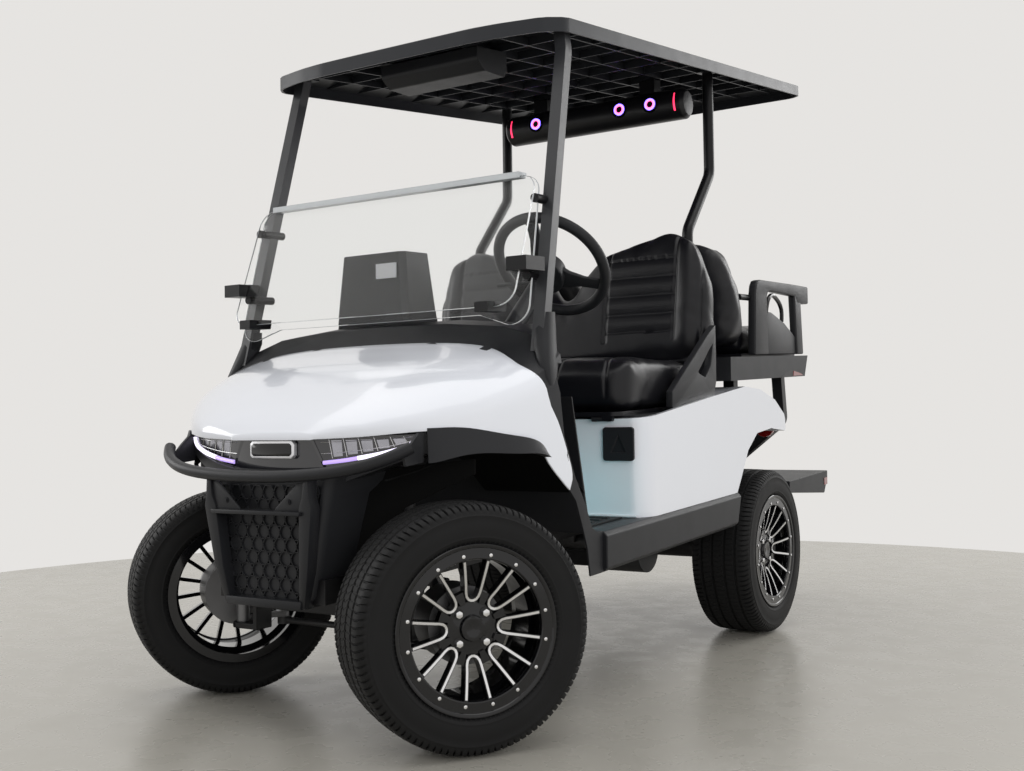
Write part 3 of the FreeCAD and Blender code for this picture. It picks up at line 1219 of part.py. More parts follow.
# Hip restraints: a swept plastic arm at each end of the front seat
HIP_THICK = 24.0
HIP_FRONT = 872.0
HIP_REAR = 1262.0
HIP_LOW = SEAT_LOW
HIP_TOP = 1030.0
HIP_SHARES = ((0.0, 0.0), (0.66, 0.0), (0.76, 0.45), (0.97, 1.0), (0.86, 0.92), (0.68, 0.62), (0.36, 0.42),
              (0.08, 0.30))
HIP_CORNER = 24.0
HIP_GAP = 6.0


def hip_restraints():
    outline = scaled(HIP_SHARES, HIP_FRONT, HIP_REAR, HIP_LOW, HIP_TOP)
    x0 = SEAT_HALF + HIP_GAP
    save("hip_restraints", pair(rounded_slab(outline, HIP_CORNER, x0, x0 + HIP_THICK)))


# Rear seat unit: posts and tray behind the deck, arms, rear-facing backrest and a cushion that flips back
TRAY_HALF = 560.0
TRAY_FRONT = 1400.0
TRAY_REAR = 2222.0
TRAY_LOW = 826.0
TRAY_TOP = 908.0
TRAY_WALL = 6.0
TRAY_CORNER = 40.0
POST_WIDTH = 40.0
POST_X = 470.0
POST_FRONT_Y = 1600.0
POST_REAR_Y = 2110.0
ELBOW_Z = 650.0
ELBOW_Y = 2150.0
ARM_THICK = 30.0
ARM_TOP = 1190.0
ARM_SHARES = ((0.0, 0.0), (0.0, 1.0), (1.0, 1.0), (0.9, 0.0))
ARM_HOLE_SHARES = ((0.12, 0.16), (0.12, 0.84), (0.86, 0.84), (0.79, 0.16))
ARM_FRONT = 1655.0
ARM_REAR = 2262.0
REAR_BACK_LOW = 930.0
REAR_BACK_TOP = 1300.0
REAR_BACK_FORE_LOW = 1450.0
REAR_BACK_FORE_TOP = 1430.0
REAR_BACK_AFT_LOW = 1610.0
REAR_BACK_AFT_TOP = 1512.0
BRACKET_WIDTH = 40.0
BRACKET_HEIGHT = 30.0
BRACKET_Z_SHARES = (0.2, 0.75)
GRAB_X = 530.0
GRAB_Z = 1122.0
GRAB_RADIUS = 11.0
REAR_CUSHION_FRONT = 1625.0
REAR_CUSHION_REAR = 2205.0
REAR_CUSHION_HEIGHT = 110.0
REAR_CUSHION_HALF = 512.0
REAR_HINGE_X = 260.0
REAR_HINGE_REACH = 18.0
REAR_HINGE_RADIUS = 8.0
REAR_HINGE_Y = TRAY_REAR + REAR_HINGE_REACH
REAR_HINGE_Z = TRAY_TOP + SEAT_GAP + BOARD_THICK / 2


def rear_tray():
    outline = [(TRAY_FRONT, TRAY_LOW), (TRAY_REAR - TRAY_CORNER, TRAY_LOW), (TRAY_REAR, TRAY_TOP), (TRAY_FRONT, TRAY_TOP)]
    arm = block(REAR_HINGE_X, REAR_HINGE_X + HINGE_LENGTH, TRAY_REAR - TRAY_CORNER, REAR_HINGE_Y,
                REAR_HINGE_Z - REAR_HINGE_RADIUS - REAR_HINGE_REACH, REAR_HINGE_Z)
    pin_end = REAR_HINGE_X + HINGE_LENGTH + HINGE_GAP
    arm = fused([arm, hinge_eye(REAR_HINGE_X, REAR_HINGE_Y, REAR_HINGE_Z, REAR_HINGE_RADIUS),
                 hinge_eye(pin_end, REAR_HINGE_Y, REAR_HINGE_Z, HINGE_PIN),
                 hinge_eye(pin_end - HINGE_LENGTH / 2, REAR_HINGE_Y, REAR_HINGE_Z, HINGE_PIN)])
    over = block(REAR_HINGE_X, REAR_HINGE_X + HINGE_LENGTH, TRAY_REAR - TRAY_CORNER, TRAY_REAR, TRAY_TOP,
                 TRAY_TOP + TRAY_CORNER)
    outer = fused([slab(outline, -TRAY_HALF, TRAY_HALF)] + pair(arm.cut(over)))
    inner = [(TRAY_FRONT + TRAY_WALL, TRAY_LOW - OVERRUN), (TRAY_REAR - TRAY_CORNER - TRAY_WALL, TRAY_LOW - OVERRUN),
             (TRAY_REAR - TRAY_CORNER, TRAY_TOP - TRAY_WALL), (TRAY_FRONT + TRAY_WALL, TRAY_TOP - TRAY_WALL)]
    save("rear_tray", [outer.cut(slab(inner, -TRAY_HALF + TRAY_WALL, TRAY_HALF - TRAY_WALL))])


def rear_seat_frame():
    """Square posts from the chassis up to the tray, with an elbow behind the wheels."""
    top = TRAY_TOP - TRAY_WALL
    foot_y = RAIL_REAR + POST_WIDTH * 2
    rear = square_bar([spot(POST_X, POST_REAR_Y, top), spot(POST_X, ELBOW_Y, ELBOW_Z),
                       spot(RAIL_X, foot_y, STEP_TOP - STEP_WALL - STEP_ARM / 2)], POST_WIDTH, POST_WIDTH, POST_WIDTH)
    rear = rear.cut(block(0, RAIL_X + STEP_ARM / 2, RAIL_REAR, foot_y + POST_WIDTH * 2, RAIL_BOTTOM - OVERRUN,
                          RAIL_TOP + POST_WIDTH * 2))
    rear = rear.cut(block(0, BODY_HALF, TRAY_FRONT, TRAY_REAR, top, top + OVERRUN))
    deck = rear_form(REAR_INNER_SHARES, 0)
    front = block(POST_X - POST_WIDTH / 2, POST_X + POST_WIDTH / 2, POST_FRONT_Y, POST_FRONT_Y + POST_WIDTH,
                  ELBOW_Z, top).cut(deck)
    solid = []
    for leg in (rear, max(front.Solids, key=lambda piece: piece.BoundBox.ZMax)):
        solid += pair(leg)
    grab = rod(spot(GRAB_X, REAR_BACK_FORE_LOW, GRAB_Z), spot(GRAB_X, ARM_FRONT + ARM_THICK, GRAB_Z), GRAB_RADIUS)
    grab = grab.cut(rear_back()).cut(rear_arm())
    solid += pair(min(grab.Solids, key=lambda piece: abs(piece.CenterOfMass.y - FRONT_AXLE_Y - ARM_FRONT + OVERRUN)))
    save("rear_seat_frame", solid)


def rear_back():
    return leaning_back((REAR_BACK_FORE_LOW, REAR_BACK_FORE_TOP), (REAR_BACK_AFT_LOW, REAR_BACK_AFT_TOP), REAR_BACK_LOW,
                        REAR_BACK_TOP)


def backrest_brackets():
    """Short blocks that hold the rear backrest off the struts."""
    solid = []
    for share in BRACKET_Z_SHARES:
        z = REAR_BACK_LOW + (REAR_BACK_TOP - REAR_BACK_LOW) * share
        bracket = block(REAR_STRUT_X - BRACKET_WIDTH / 2, REAR_STRUT_X + BRACKET_WIDTH / 2, strut_faces()[1],
                        REAR_BACK_AFT_LOW, z, z + BRACKET_HEIGHT).cut(rear_back())
        solid += pair(min(bracket.Solids, key=lambda piece: piece.BoundBox.YMin))
    save("backrest_brackets", solid)


def rear_arm():
    outer = rounded_slab(scaled(ARM_SHARES, ARM_FRONT, ARM_REAR, TRAY_TOP, ARM_TOP), TRAY_CORNER,
                         TRAY_HALF - ARM_THICK, TRAY_HALF)
    hole = rounded_slab(scaled(ARM_HOLE_SHARES, ARM_FRONT, ARM_REAR, TRAY_TOP, ARM_TOP), TRAY_CORNER,
                        TRAY_HALF - ARM_THICK - OVERRUN, TRAY_HALF + OVERRUN)
    return outer.cut(hole)


def rear_seat():
    save("rear_backrest", [rear_back()])
    board_low = TRAY_TOP + SEAT_GAP
    board_top = board_low + BOARD_THICK
    half = REAR_CUSHION_HALF
    board = block(-half, half, REAR_CUSHION_FRONT, REAR_CUSHION_REAR, board_low, board_top)
    x = REAR_HINGE_X + HINGE_LENGTH + HINGE_GAP
    strap = block(x, x + HINGE_LENGTH, REAR_CUSHION_REAR, REAR_HINGE_Y, board_low, board_top)
    eye = fused([strap, hinge_eye(x, REAR_HINGE_Y, REAR_HINGE_Z, REAR_HINGE_RADIUS)])
    bore = hinge_eye(x - HINGE_GAP, REAR_HINGE_Y, REAR_HINGE_Z, HINGE_PIN + PIN_GAP)
    eye = eye.cut(bore.fuse(hinge_eye(x + HINGE_GAP, REAR_HINGE_Y, REAR_HINGE_Z, HINGE_PIN + PIN_GAP)))
    save("rear_cushion_board", [fused([board] + pair(eye))])
    save("rear_cushion", [cushion(REAR_CUSHION_REAR, REAR_CUSHION_FRONT, board_top, board_top + REAR_CUSHION_HEIGHT,
                                  half, CUSHION_CORNER)])


# Rear step: a moulded footplate on two arms that carry on from the rails
STEP_HALF = 500.0
STEP_FRONT = 2150.0
STEP_TOP = 410.0
STEP_DEPTH = 92.0
STEP_WALL = 6.0


def rear_step():
    outline = [(STEP_FRONT, STEP_TOP - STEP_DEPTH / 2), (TAIL_Y - STEP_DEPTH / 2, STEP_TOP - STEP_DEPTH),
               (TAIL_Y, STEP_TOP - STEP_DEPTH / 3), (TAIL_Y, STEP_TOP), (STEP_FRONT, STEP_TOP)]
    outer = slab(outline, -STEP_HALF, STEP_HALF)
    inner = [(STEP_FRONT + STEP_WALL, RAIL_BOTTOM - STEP_DEPTH), (TAIL_Y - STEP_WALL, RAIL_BOTTOM - STEP_DEPTH),
             (TAIL_Y - STEP_WALL, STEP_TOP - STEP_WALL), (STEP_FRONT + STEP_WALL, STEP_TOP - STEP_WALL)]
    tray = outer.cut(slab(inner, -STEP_HALF + STEP_WALL, STEP_HALF - STEP_WALL))
    save("rear_step", [tray.cut(Part.makeCompound(step_arms()))])


# Roof: shallow tray form with a lattice of ribs under it, on square front struts and bent rear ones
ROOF_FRONT = 262.0
ROOF_REAR = 2300.0
ROOF_FRONT_HALF = 520.0
ROOF_REAR_HALF = 540.0
ROOF_FRONT_Z = 1790.0
ROOF_SLOPE = 0.089
ROOF_EDGE = 78.0
ROOF_CROWN = 26.0
ROOF_WALL = 5.0
ROOF_CORNER = 90.0
ROOF_BOW = 60.0
ROOF_BOW_SHARE = 0.6
ROOF_RIB = 4.0
ROOF_RIB_DEPTH = 26.0
ROOF_RIBS_LONG = 7
ROOF_RIBS_ACROSS = 12
ROOF_PAD = 30.0
STRUT_WIDTH = 34.0
STRUT_SHARES = ((0.0, 0.0, 0.0), (0.66, 0.94, 0.885), (1.0, 1.0, 1.0))
STRUT_BASE_X = 521.0
STRUT_TOP_X = 468.0
STRUT_BASE_Y = 196.0
STRUT_TOP_Y = 420.0
STRUT_BASE_Z = 930.0
REAR_STRUT_RADIUS = 19.0
REAR_STRUT_X = 430.0
REAR_STRUT_Y = 1556.0
REAR_STRUT_LOW_Y = 1352.0
REAR_STRUT_LOW_Z = 806.0
REAR_STRUT_BEND_Z = 1350.0
REAR_STRUT_UPPER_Z = 1570.0
REAR_STRUT_BEND = 60.0


def roof_height(y):
    return ROOF_FRONT_Z + ROOF_SLOPE * (y - ROOF_FRONT)


def roof_plan(inset, z):
    """The roof's plan outline at a height, with rounded corners and a bowed front edge."""
    front = ROOF_FRONT + inset
    rear = ROOF_REAR - inset
    a = ROOF_FRONT_HALF - inset
    b = ROOF_REAR_HALF - inset
    bend = a * ROOF_BOW_SHARE
    outline = [(-a, front + ROOF_BOW), (-bend, front), (bend, front), (a, front + ROOF_BOW), (b, rear), (-b, rear)]
    points = [spot(x, y, z + ROOF_SLOPE * (y - ROOF_FRONT)) for x, y in outline]
    return closed_polygon(cut_corners(cut_corners(points, ROOF_CORNER / 2), ROOF_CORNER / 6))


def roof_form(inset, low, high, crown):
    """Solid between two heights over the roof's plan, with a stepped-in crown on top."""
    base = Part.makeLoft([roof_plan(inset, ROOF_FRONT_Z + low), roof_plan(inset, ROOF_FRONT_Z + high),
                          roof_plan(inset + ROOF_CORNER, ROOF_FRONT_Z + high + crown)], True, True)
    return base


def roof():
    outer = roof_form(0, 0, ROOF_EDGE / 2, ROOF_CROWN)
    inner = roof_form(ROOF_WALL, -OVERRUN, ROOF_EDGE / 2 - ROOF_WALL, ROOF_CROWN)
    shell = outer.cut(inner)
    ribs = []
    top = ROOF_EDGE / 2 + ROOF_CROWN
    for k in range(1, ROOF_RIBS_LONG + 1):
        x = -ROOF_REAR_HALF + 2 * ROOF_REAR_HALF * k / (ROOF_RIBS_LONG + 1)
        ribs.append(roof_rib(x - ROOF_RIB / 2, x + ROOF_RIB / 2, ROOF_FRONT, ROOF_REAR, top))
    for k in range(1, ROOF_RIBS_ACROSS + 1):
        y = ROOF_FRONT + (ROOF_REAR - ROOF_FRONT) * k / (ROOF_RIBS_ACROSS + 1)
        ribs.append(roof_rib(-ROOF_REAR_HALF, ROOF_REAR_HALF, y - ROOF_RIB / 2, y + ROOF_RIB / 2, top))
    for x, y in ((STRUT_TOP_X, STRUT_TOP_Y), (REAR_STRUT_X, REAR_STRUT_Y)):
        ribs += pair(roof_rib(x - ROOF_PAD, x + ROOF_PAD, y - ROOF_PAD, y + ROOF_PAD, top))
    lattice = fused(ribs).common(roof_form(ROOF_WALL + ROOF_RIB, 0, ROOF_EDGE / 2 - ROOF_WALL / 2, ROOF_CROWN))
    save("roof", [fused([shell, lattice])])


def roof_rib(x0, x1, y0, y1, top):
    base = top - ROOF_RIB_DEPTH - ROOF_WALL
    z0 = roof_height(y0)
    z1 = roof_height(y1)
    return slab([(y0, z0 + base), (y1, z1 + base), (y1, z1 + top), (y0, z0 + top)], x0, x1)


def front_strut():
    """The left one: up and back from the cowl, then bent inwards under the roof."""
    top = roof_height(STRUT_TOP_Y) + ROOF_EDGE / 2 + ROOF_CROWN
    points = [spot(STRUT_BASE_X + (STRUT_TOP_X - STRUT_BASE_X) * a, STRUT_BASE_Y + (STRUT_TOP_Y - STRUT_BASE_Y) * b,
                   STRUT_BASE_Z + (top - STRUT_BASE_Z) * c) for a, b, c in STRUT_SHARES]
    bent = square_bar(points, STRUT_WIDTH, STRUT_WIDTH, ROOF_CORNER)
    under_roof = roof_block()
    bent = bent.cut(under_roof).cut(nose_form(0))
    return max(bent.Solids, key=lambda piece: piece.Volume)


def save_struts():
    save("front_struts", pair(front_strut()))
    under_roof = roof_block()
    high = roof_height(REAR_STRUT_Y) + ROOF_EDGE + ROOF_CROWN
    points = [spot(REAR_STRUT_X, REAR_STRUT_LOW_Y, REAR_STRUT_LOW_Z),
              spot(REAR_STRUT_X, REAR_STRUT_LOW_Y, REAR_STRUT_BEND_Z),
              spot(REAR_STRUT_X, REAR_STRUT_Y, REAR_STRUT_UPPER_Z), spot(REAR_STRUT_X, REAR_STRUT_Y, high)]
    back = bar(points, REAR_STRUT_RADIUS, REAR_STRUT_BEND).cut(under_roof)
    rear = back.cut(rear_form(REAR_INNER_SHARES, 0))
    save("rear_struts", pair(max(rear.Solids, key=lambda piece: piece.Volume)))


def roof_block():
    """Everything above the underside of the roof's ribs."""
    lift = ROOF_EDGE / 2 + ROOF_CROWN - ROOF_WALL - ROOF_RIB_DEPTH
    z0 = roof_height(ROOF_FRONT) + lift
    z1 = roof_height(ROOF_REAR) + lift
    return slab([(ROOF_FRONT, z0), (ROOF_REAR, z1), (ROOF_REAR, z1 + ROOF_CORNER), (ROOF_FRONT, z0 + ROOF_CORNER)],
                -BODY_HALF, BODY_HALF)


# Overhead: a speaker bar hung between the rear struts, and a console behind the roof's front edge
SPEAKER_Y = 1505.0
SPEAKER_Z = 1831.0
SPEAKER_RADIUS = 56.0
SPEAKER_HALF = 376.0
SPEAKER_CAP = 12.0
SPEAKER_STRAP = 30.0
SPEAKER_STRAP_X_SHARE = 0.6
CONSOLE_HALF = 178.0
CONSOLE_FRONT = 440.0
CONSOLE_REAR = 600.0
CONSOLE_HEIGHT = 62.0
CONSOLE_CORNER = 18.0
CONSOLE_SHARES = ((0.0, 1.3), (0.0, 0.45), (0.25, 0.0), (0.92, 0.0), (1.0, 0.3), (1.0, 1.3))


def speaker_bar():
    left = spot(SPEAKER_HALF - SPEAKER_CAP, SPEAKER_Y, SPEAKER_Z)
    right = spot(-SPEAKER_HALF + SPEAKER_CAP, SPEAKER_Y, SPEAKER_Z)
    solid = [rod(right, left, SPEAKER_RADIUS)]
    for end, out in ((left, ALONG_X), (right, -ALONG_X)):
        solid.append(Part.makeCone(SPEAKER_RADIUS, SPEAKER_RADIUS - SPEAKER_CAP, SPEAKER_CAP, end, out))
    x = SPEAKER_HALF * SPEAKER_STRAP_X_SHARE
    strap = block(x - SPEAKER_STRAP, x + SPEAKER_STRAP, SPEAKER_Y - SPEAKER_STRAP, SPEAKER_Y + SPEAKER_STRAP, SPEAKER_Z,
                  roof_height(SPEAKER_Y) + ROOF_CORNER)
    solid += [piece.cut(roof_block()) for piece in pair(strap)]
    save("speaker_bar", [fused(solid)])


def overhead_console():
    low = roof_height(CONSOLE_FRONT) - CONSOLE_HEIGHT / 2
    outline = scaled(CONSOLE_SHARES, CONSOLE_FRONT, CONSOLE_REAR, low, low + CONSOLE_HEIGHT)
    solid = rounded_slab(outline, CONSOLE_CORNER, -CONSOLE_HALF, CONSOLE_HALF).cut(roof_block())
    save("overhead_console", [min(solid.Solids, key=lambda piece: piece.BoundBox.ZMin)])


# Tail lamps: a round lens let into each rear corner of the body
TAIL_LAMP_X = 500.0
TAIL_LAMP_Z = 640.0
TAIL_LAMP_RADIUS = 36.0
TAIL_LAMP_DEPTH = 60.0


def tail_lamps():
    start = spot(TAIL_LAMP_X, REAR_END - TAIL_LAMP_DEPTH, TAIL_LAMP_Z)
    end = spot(TAIL_LAMP_X, REAR_END + TAIL_LAMP_DEPTH / 3, TAIL_LAMP_Z)
    lens = rod(start, end, TAIL_LAMP_RADIUS).cut(rear_form(REAR_INNER_SHARES, 0))
    save("tail_lamps", pair(max(lens.Solids, key=lambda piece: piece.BoundBox.YMax)))


# Windscreen: a lower pane in front of the struts, and an upper pane folded down in front of it
SCREEN_HALF = 490.0
SCREEN_FOOT_HALF = 506.0
SCREEN_TOP_Y = 262.0
SCREEN_HINGE_Z = 1402.0
SCREEN_FOOT_Y = 163.0
SCREEN_FOOT_Z = 985.0
SCREEN_ARCH = 50.0
SCREEN_ARCH_SHARE = 0.7
PANE_THICK = 6.0
PANE_CORNER = 50.0
FOLD_EDGE_Y = 118.0
FOLD_EDGE_Z = 1052.0
FOLD_GAP = 9.0
HINGE_BAR = 16.0
CLIP_X = 500.0
CLIP_Z = 1158.0
CLIP_WIDTH = 60.0
CLIP_HEIGHT = 36.0
CLIP_FRONT = 22.0
LOW_CLIP_X = 414.0
LOW_CLIP_WIDTH = 40.0
LOW_CLIP_HEIGHT = 26.0
LOW_CLIP_FRONT = 14.0
KNOB_X = 492.0
KNOB_Z_SHARES = (0.84, 0.35)
KNOB_RADIUS = 12.0
KNOB_HEAD = 14.0


def pane(outline, thick):
    """A flat pane: outline points in one plane, drawn back along y."""
    return Part.Face(rounded_wire(outline, PANE_CORNER)).extrude(Vector(0, thick, 0))


def lower_pane():
    foot = SCREEN_FOOT_Z
    lean = (SCREEN_TOP_Y - SCREEN_FOOT_Y) / (SCREEN_HINGE_Z - foot)
    arch = foot + SCREEN_ARCH
    bend = SCREEN_FOOT_HALF * SCREEN_ARCH_SHARE
    lower = [spot(-SCREEN_HALF, SCREEN_TOP_Y, SCREEN_HINGE_Z), spot(-SCREEN_FOOT_HALF, SCREEN_FOOT_Y, foot),
             spot(-bend, SCREEN_FOOT_Y + lean * SCREEN_ARCH, arch), spot(bend, SCREEN_FOOT_Y + lean * SCREEN_ARCH, arch),
             spot(SCREEN_FOOT_HALF, SCREEN_FOOT_Y, foot), spot(SCREEN_HALF, SCREEN_TOP_Y, SCREEN_HINGE_Z)]
    return pane(lower, PANE_THICK).cut(nose_form(0))


def upper_pane():
    top_y = SCREEN_TOP_Y - FOLD_GAP - PANE_THICK
    upper = [spot(-SCREEN_HALF, top_y, SCREEN_HINGE_Z), spot(-SCREEN_HALF, FOLD_EDGE_Y, FOLD_EDGE_Z),
             spot(SCREEN_HALF, FOLD_EDGE_Y, FOLD_EDGE_Z), spot(SCREEN_HALF, top_y, SCREEN_HINGE_Z)]
    return pane(upper, PANE_THICK)


def pane_y(z, foot_y, foot_z):
    """Where a pane that leans from its foot to the hinge line has its front face at a height."""
    return foot_y + (SCREEN_TOP_Y - foot_y) * (z - foot_z) / (SCREEN_HINGE_Z - foot_z)


def screen_clip(x, width, z, height, front):
    """A block on the folded pane's edge that reaches back to the lower pane."""
    fold = pane_y(z, FOLD_EDGE_Y, FOLD_EDGE_Z) - front
    back = pane_y(z + height, SCREEN_FOOT_Y, SCREEN_FOOT_Z) + PANE_THICK
    return block(x - width / 2, x + width / 2, fold - FOLD_GAP, back, z, z + height)


def windscreen():
    lower = lower_pane()
    upper = upper_pane()
    save("lower_pane", [lower])
    save("upper_pane", [upper])
    panes = lower.fuse(upper)
    strut = front_strut()
    low = SCREEN_HINGE_Z - PANE_THICK
    back = SCREEN_TOP_Y + HINGE_BAR
    pieces = [block(-SCREEN_HALF + PANE_CORNER, SCREEN_HALF - PANE_CORNER, SCREEN_TOP_Y - HINGE_BAR - FOLD_GAP, back,
                    low, low + HINGE_BAR).cut(panes)]
    clips = [screen_clip(CLIP_X, CLIP_WIDTH, CLIP_Z - CLIP_HEIGHT / 2, CLIP_HEIGHT, CLIP_FRONT),
             screen_clip(LOW_CLIP_X, LOW_CLIP_WIDTH, FOLD_EDGE_Z - LOW_CLIP_HEIGHT / 2, LOW_CLIP_HEIGHT,
                         LOW_CLIP_FRONT)]
    for share in KNOB_Z_SHARES:
        z = SCREEN_FOOT_Z + (SCREEN_HINGE_Z - SCREEN_FOOT_Z) * share
        front = pane_y(z, SCREEN_FOOT_Y, SCREEN_FOOT_Z)
        clips.append(rod(spot(KNOB_X, front - KNOB_HEAD, z), spot(KNOB_X, front + ROOF_CORNER, z), KNOB_RADIUS))
    for clip in clips:
        solids = clip.cut(panes).cut(strut).Solids
        keep = min(solids, key=lambda piece: piece.BoundBox.YMin)
        pieces += pair(keep)
    save("screen_fittings", pieces)


def build():
    chassis()
    battery()
    wheels()
    knuckles()
    tie_rod()
    front_beam()
    front_coils()
    front_tower()
    rear_axle()
    leaf_springs()
    rear_shocks()
    front_body()
    lamp_strip()
    fascia()
    brush_guard()
    fenders()
    floor_pan()
    floor_mat()
    sills()
    save_pedals()
    steering_column()
    steering_wheel()
    rear_body()
    seat_deck()
    charge_port()
    front_seat()
    hip_restraints()
    rear_tray()
    rear_seat_frame()
    backrest_brackets()
    save("rear_arms", pair(rear_arm()))
    rear_seat()
    rear_step()
    roof()
    save_struts()
    speaker_bar()
    overhead_console()
    tail_lamps()
    windscreen()


build()
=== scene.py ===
"""Looks of the raised four-seat golf cart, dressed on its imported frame. Metres, +Z up, front towards -Y."""
import json
import math

import bmesh
import bpy
from mathutils import Matrix, Vector

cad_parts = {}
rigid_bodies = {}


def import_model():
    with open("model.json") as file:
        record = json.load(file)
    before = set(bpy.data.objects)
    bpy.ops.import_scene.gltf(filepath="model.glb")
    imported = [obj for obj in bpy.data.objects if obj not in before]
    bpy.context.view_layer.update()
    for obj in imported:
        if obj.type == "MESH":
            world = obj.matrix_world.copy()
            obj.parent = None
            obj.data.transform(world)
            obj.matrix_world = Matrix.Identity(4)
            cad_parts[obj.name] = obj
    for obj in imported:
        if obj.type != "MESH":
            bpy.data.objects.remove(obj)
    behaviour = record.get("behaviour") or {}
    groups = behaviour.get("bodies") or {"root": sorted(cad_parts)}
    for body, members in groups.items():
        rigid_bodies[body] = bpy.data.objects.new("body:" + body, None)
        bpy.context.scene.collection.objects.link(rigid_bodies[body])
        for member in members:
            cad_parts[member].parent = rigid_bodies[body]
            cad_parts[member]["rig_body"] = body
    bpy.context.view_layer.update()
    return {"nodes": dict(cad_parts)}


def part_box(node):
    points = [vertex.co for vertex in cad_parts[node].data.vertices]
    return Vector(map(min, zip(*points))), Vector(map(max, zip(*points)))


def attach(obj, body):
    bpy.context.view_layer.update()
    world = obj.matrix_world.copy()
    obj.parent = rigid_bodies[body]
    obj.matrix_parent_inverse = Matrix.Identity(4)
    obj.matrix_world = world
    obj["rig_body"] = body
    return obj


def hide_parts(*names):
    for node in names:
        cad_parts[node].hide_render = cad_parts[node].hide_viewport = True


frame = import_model()
nodes = frame["nodes"]

# Places on the cart, in millimetres behind the front axle and above the raked floor line
FRONT_AXLE_Y = -1128.2129
WHEELBASE = 1676.0
RAKE = 0.047
REST_STEER = 34.0
KINGPIN_X = 334.0
SPINDLE = 166.0
REAR_WHEEL_X = 503.0
AXLE_Z = 290.0
MM = 0.001


def spot(x, y, z):
    return Vector((x, FRONT_AXLE_Y + y, z + RAKE * y)) * MM


def turn_about(axis, degrees):
    return Matrix.Rotation(math.radians(degrees), 4, axis)


# Finishes
SMOOTHEST = 0.02
WIPE_RATIO = 3.1
GRAIN_DEPTH = 0.0006


def finish(name, colour, roughness, metallic=0.0, mottle=0.12, mottle_scale=5.0, grain=0.0, grain_scale=700.0,
           smear=0.06, cells=False, **sockets):
    """A painted, moulded or metal surface with soft clouds of colour, uneven gloss and a fine grain."""
    material = bpy.data.materials.new(name)
    material.use_nodes = True
    tree = material.node_tree
    shader = tree.nodes["Principled BSDF"]
    place = tree.nodes.new("ShaderNodeTexCoord")
    clouds = tree.nodes.new("ShaderNodeTexNoise")
    clouds.inputs["Scale"].default_value = mottle_scale
    clouds.inputs["Detail"].default_value = 5.0
    tree.links.new(place.outputs["Object"], clouds.inputs["Vector"])
    tint = tree.nodes.new("ShaderNodeMix")
    tint.data_type = "RGBA"
    tint.inputs["A"].default_value = [c * (1 - mottle) for c in colour] + [1]
    tint.inputs["B"].default_value = [min(1, c * (1 + mottle)) for c in colour] + [1]
    tree.links.new(clouds.outputs["Fac"], tint.inputs["Factor"])
    tree.links.new(tint.outputs["Result"], shader.inputs["Base Color"])
    wipe = tree.nodes.new("ShaderNodeTexNoise")
    wipe.inputs["Scale"].default_value = mottle_scale * WIPE_RATIO
    wipe.inputs["Detail"].default_value = 3.0
    tree.links.new(place.outputs["Object"], wipe.inputs["Vector"])
    spread = tree.nodes.new("ShaderNodeMapRange")
    spread.inputs["To Min"].default_value = max(SMOOTHEST, roughness - smear)
    spread.inputs["To Max"].default_value = min(1.0, roughness + smear)
    tree.links.new(wipe.outputs["Fac"], spread.inputs["Value"])
    tree.links.new(spread.outputs["Result"], shader.inputs["Roughness"])
    shader.inputs["Metallic"].default_value = metallic
    for socket, value in sockets.items():
        shader.inputs[socket.replace("_", " ")].default_value = value
    if grain:
        if cells:
            pores = tree.nodes.new("ShaderNodeTexVoronoi")
            pores.feature = "DISTANCE_TO_EDGE"
            height = pores.outputs["Distance"]
        else:
            pores = tree.nodes.new("ShaderNodeTexNoise")
            pores.inputs["Detail"].default_value = 2.0
            height = pores.outputs["Fac"]
        pores.inputs["Scale"].default_value = grain_scale
        tree.links.new(place.outputs["Object"], pores.inputs["Vector"])
        bump = tree.nodes.new("ShaderNodeBump")
        bump.inputs["Strength"].default_value = grain
        bump.inputs["Distance"].default_value = GRAIN_DEPTH
        tree.links.new(height, bump.inputs["Height"])
        tree.links.new(bump.outputs["Normal"], shader.inputs["Normal"])
    return material


def glow(name, colour, strength, base=(0.02, 0.02, 0.03)):
    return finish(name, base, 0.2, mottle=0.02, Emission_Color=list(colour) + [1], Emission_Strength=strength)


white_paint = finish("white_paint", (0.87, 0.89, 0.935), 0.17, mottle=0.012, smear=0.03, grain=0.03,
                     grain_scale=260, Coat_Weight=0.8, Coat_Roughness=0.04)
charcoal = finish("charcoal_moulding", (0.017, 0.0175, 0.0195), 0.44, grain=0.28, grain_scale=950,
                  Specular_IOR_Level=0.28)
roof_skin = finish("roof_charcoal", (0.023, 0.0245, 0.028), 0.38, mottle=0.08, grain=0.14, grain_scale=900,
                   Specular_IOR_Level=0.3)
powder_coat = finish("black_powder_coat", (0.0065, 0.0065, 0.0075), 0.34, grain=0.22, grain_scale=1300,
                     Specular_IOR_Level=0.3)
strut_coat = finish("grey_strut_coat", (0.034, 0.035, 0.038), 0.33, grain=0.16, grain_scale=1200)
vinyl = finish("black_vinyl", (0.0075, 0.0075, 0.0095), 0.33, mottle=0.2, grain=0.3, grain_scale=520,
               cells=True, Specular_IOR_Level=0.36)
rubber = finish("tyre_rubber", (0.0105, 0.0105, 0.0108), 0.58, mottle=0.22, mottle_scale=9, grain=0.25,
                grain_scale=900, Specular_IOR_Level=0.2)
gloss_black = finish("gloss_black", (0.004, 0.004, 0.005), 0.1, smear=0.04, Coat_Weight=0.3,
                     Coat_Roughness=0.05, Specular_IOR_Level=0.4)
machined = finish("machined_silver", (0.86, 0.86, 0.87), 0.24, metallic=1.0, grain=0.12, grain_scale=1800)
chrome = finish("chrome", (0.82, 0.82, 0.84), 0.09, metallic=1.0, mottle=0.03)
steel = finish("dull_steel", (0.2, 0.2, 0.205), 0.46, metallic=0.85, mottle=0.25, grain=0.15)
dark_steel = finish("dark_steel", (0.05, 0.05, 0.052), 0.5, metallic=0.5, mottle=0.25, grain=0.2)
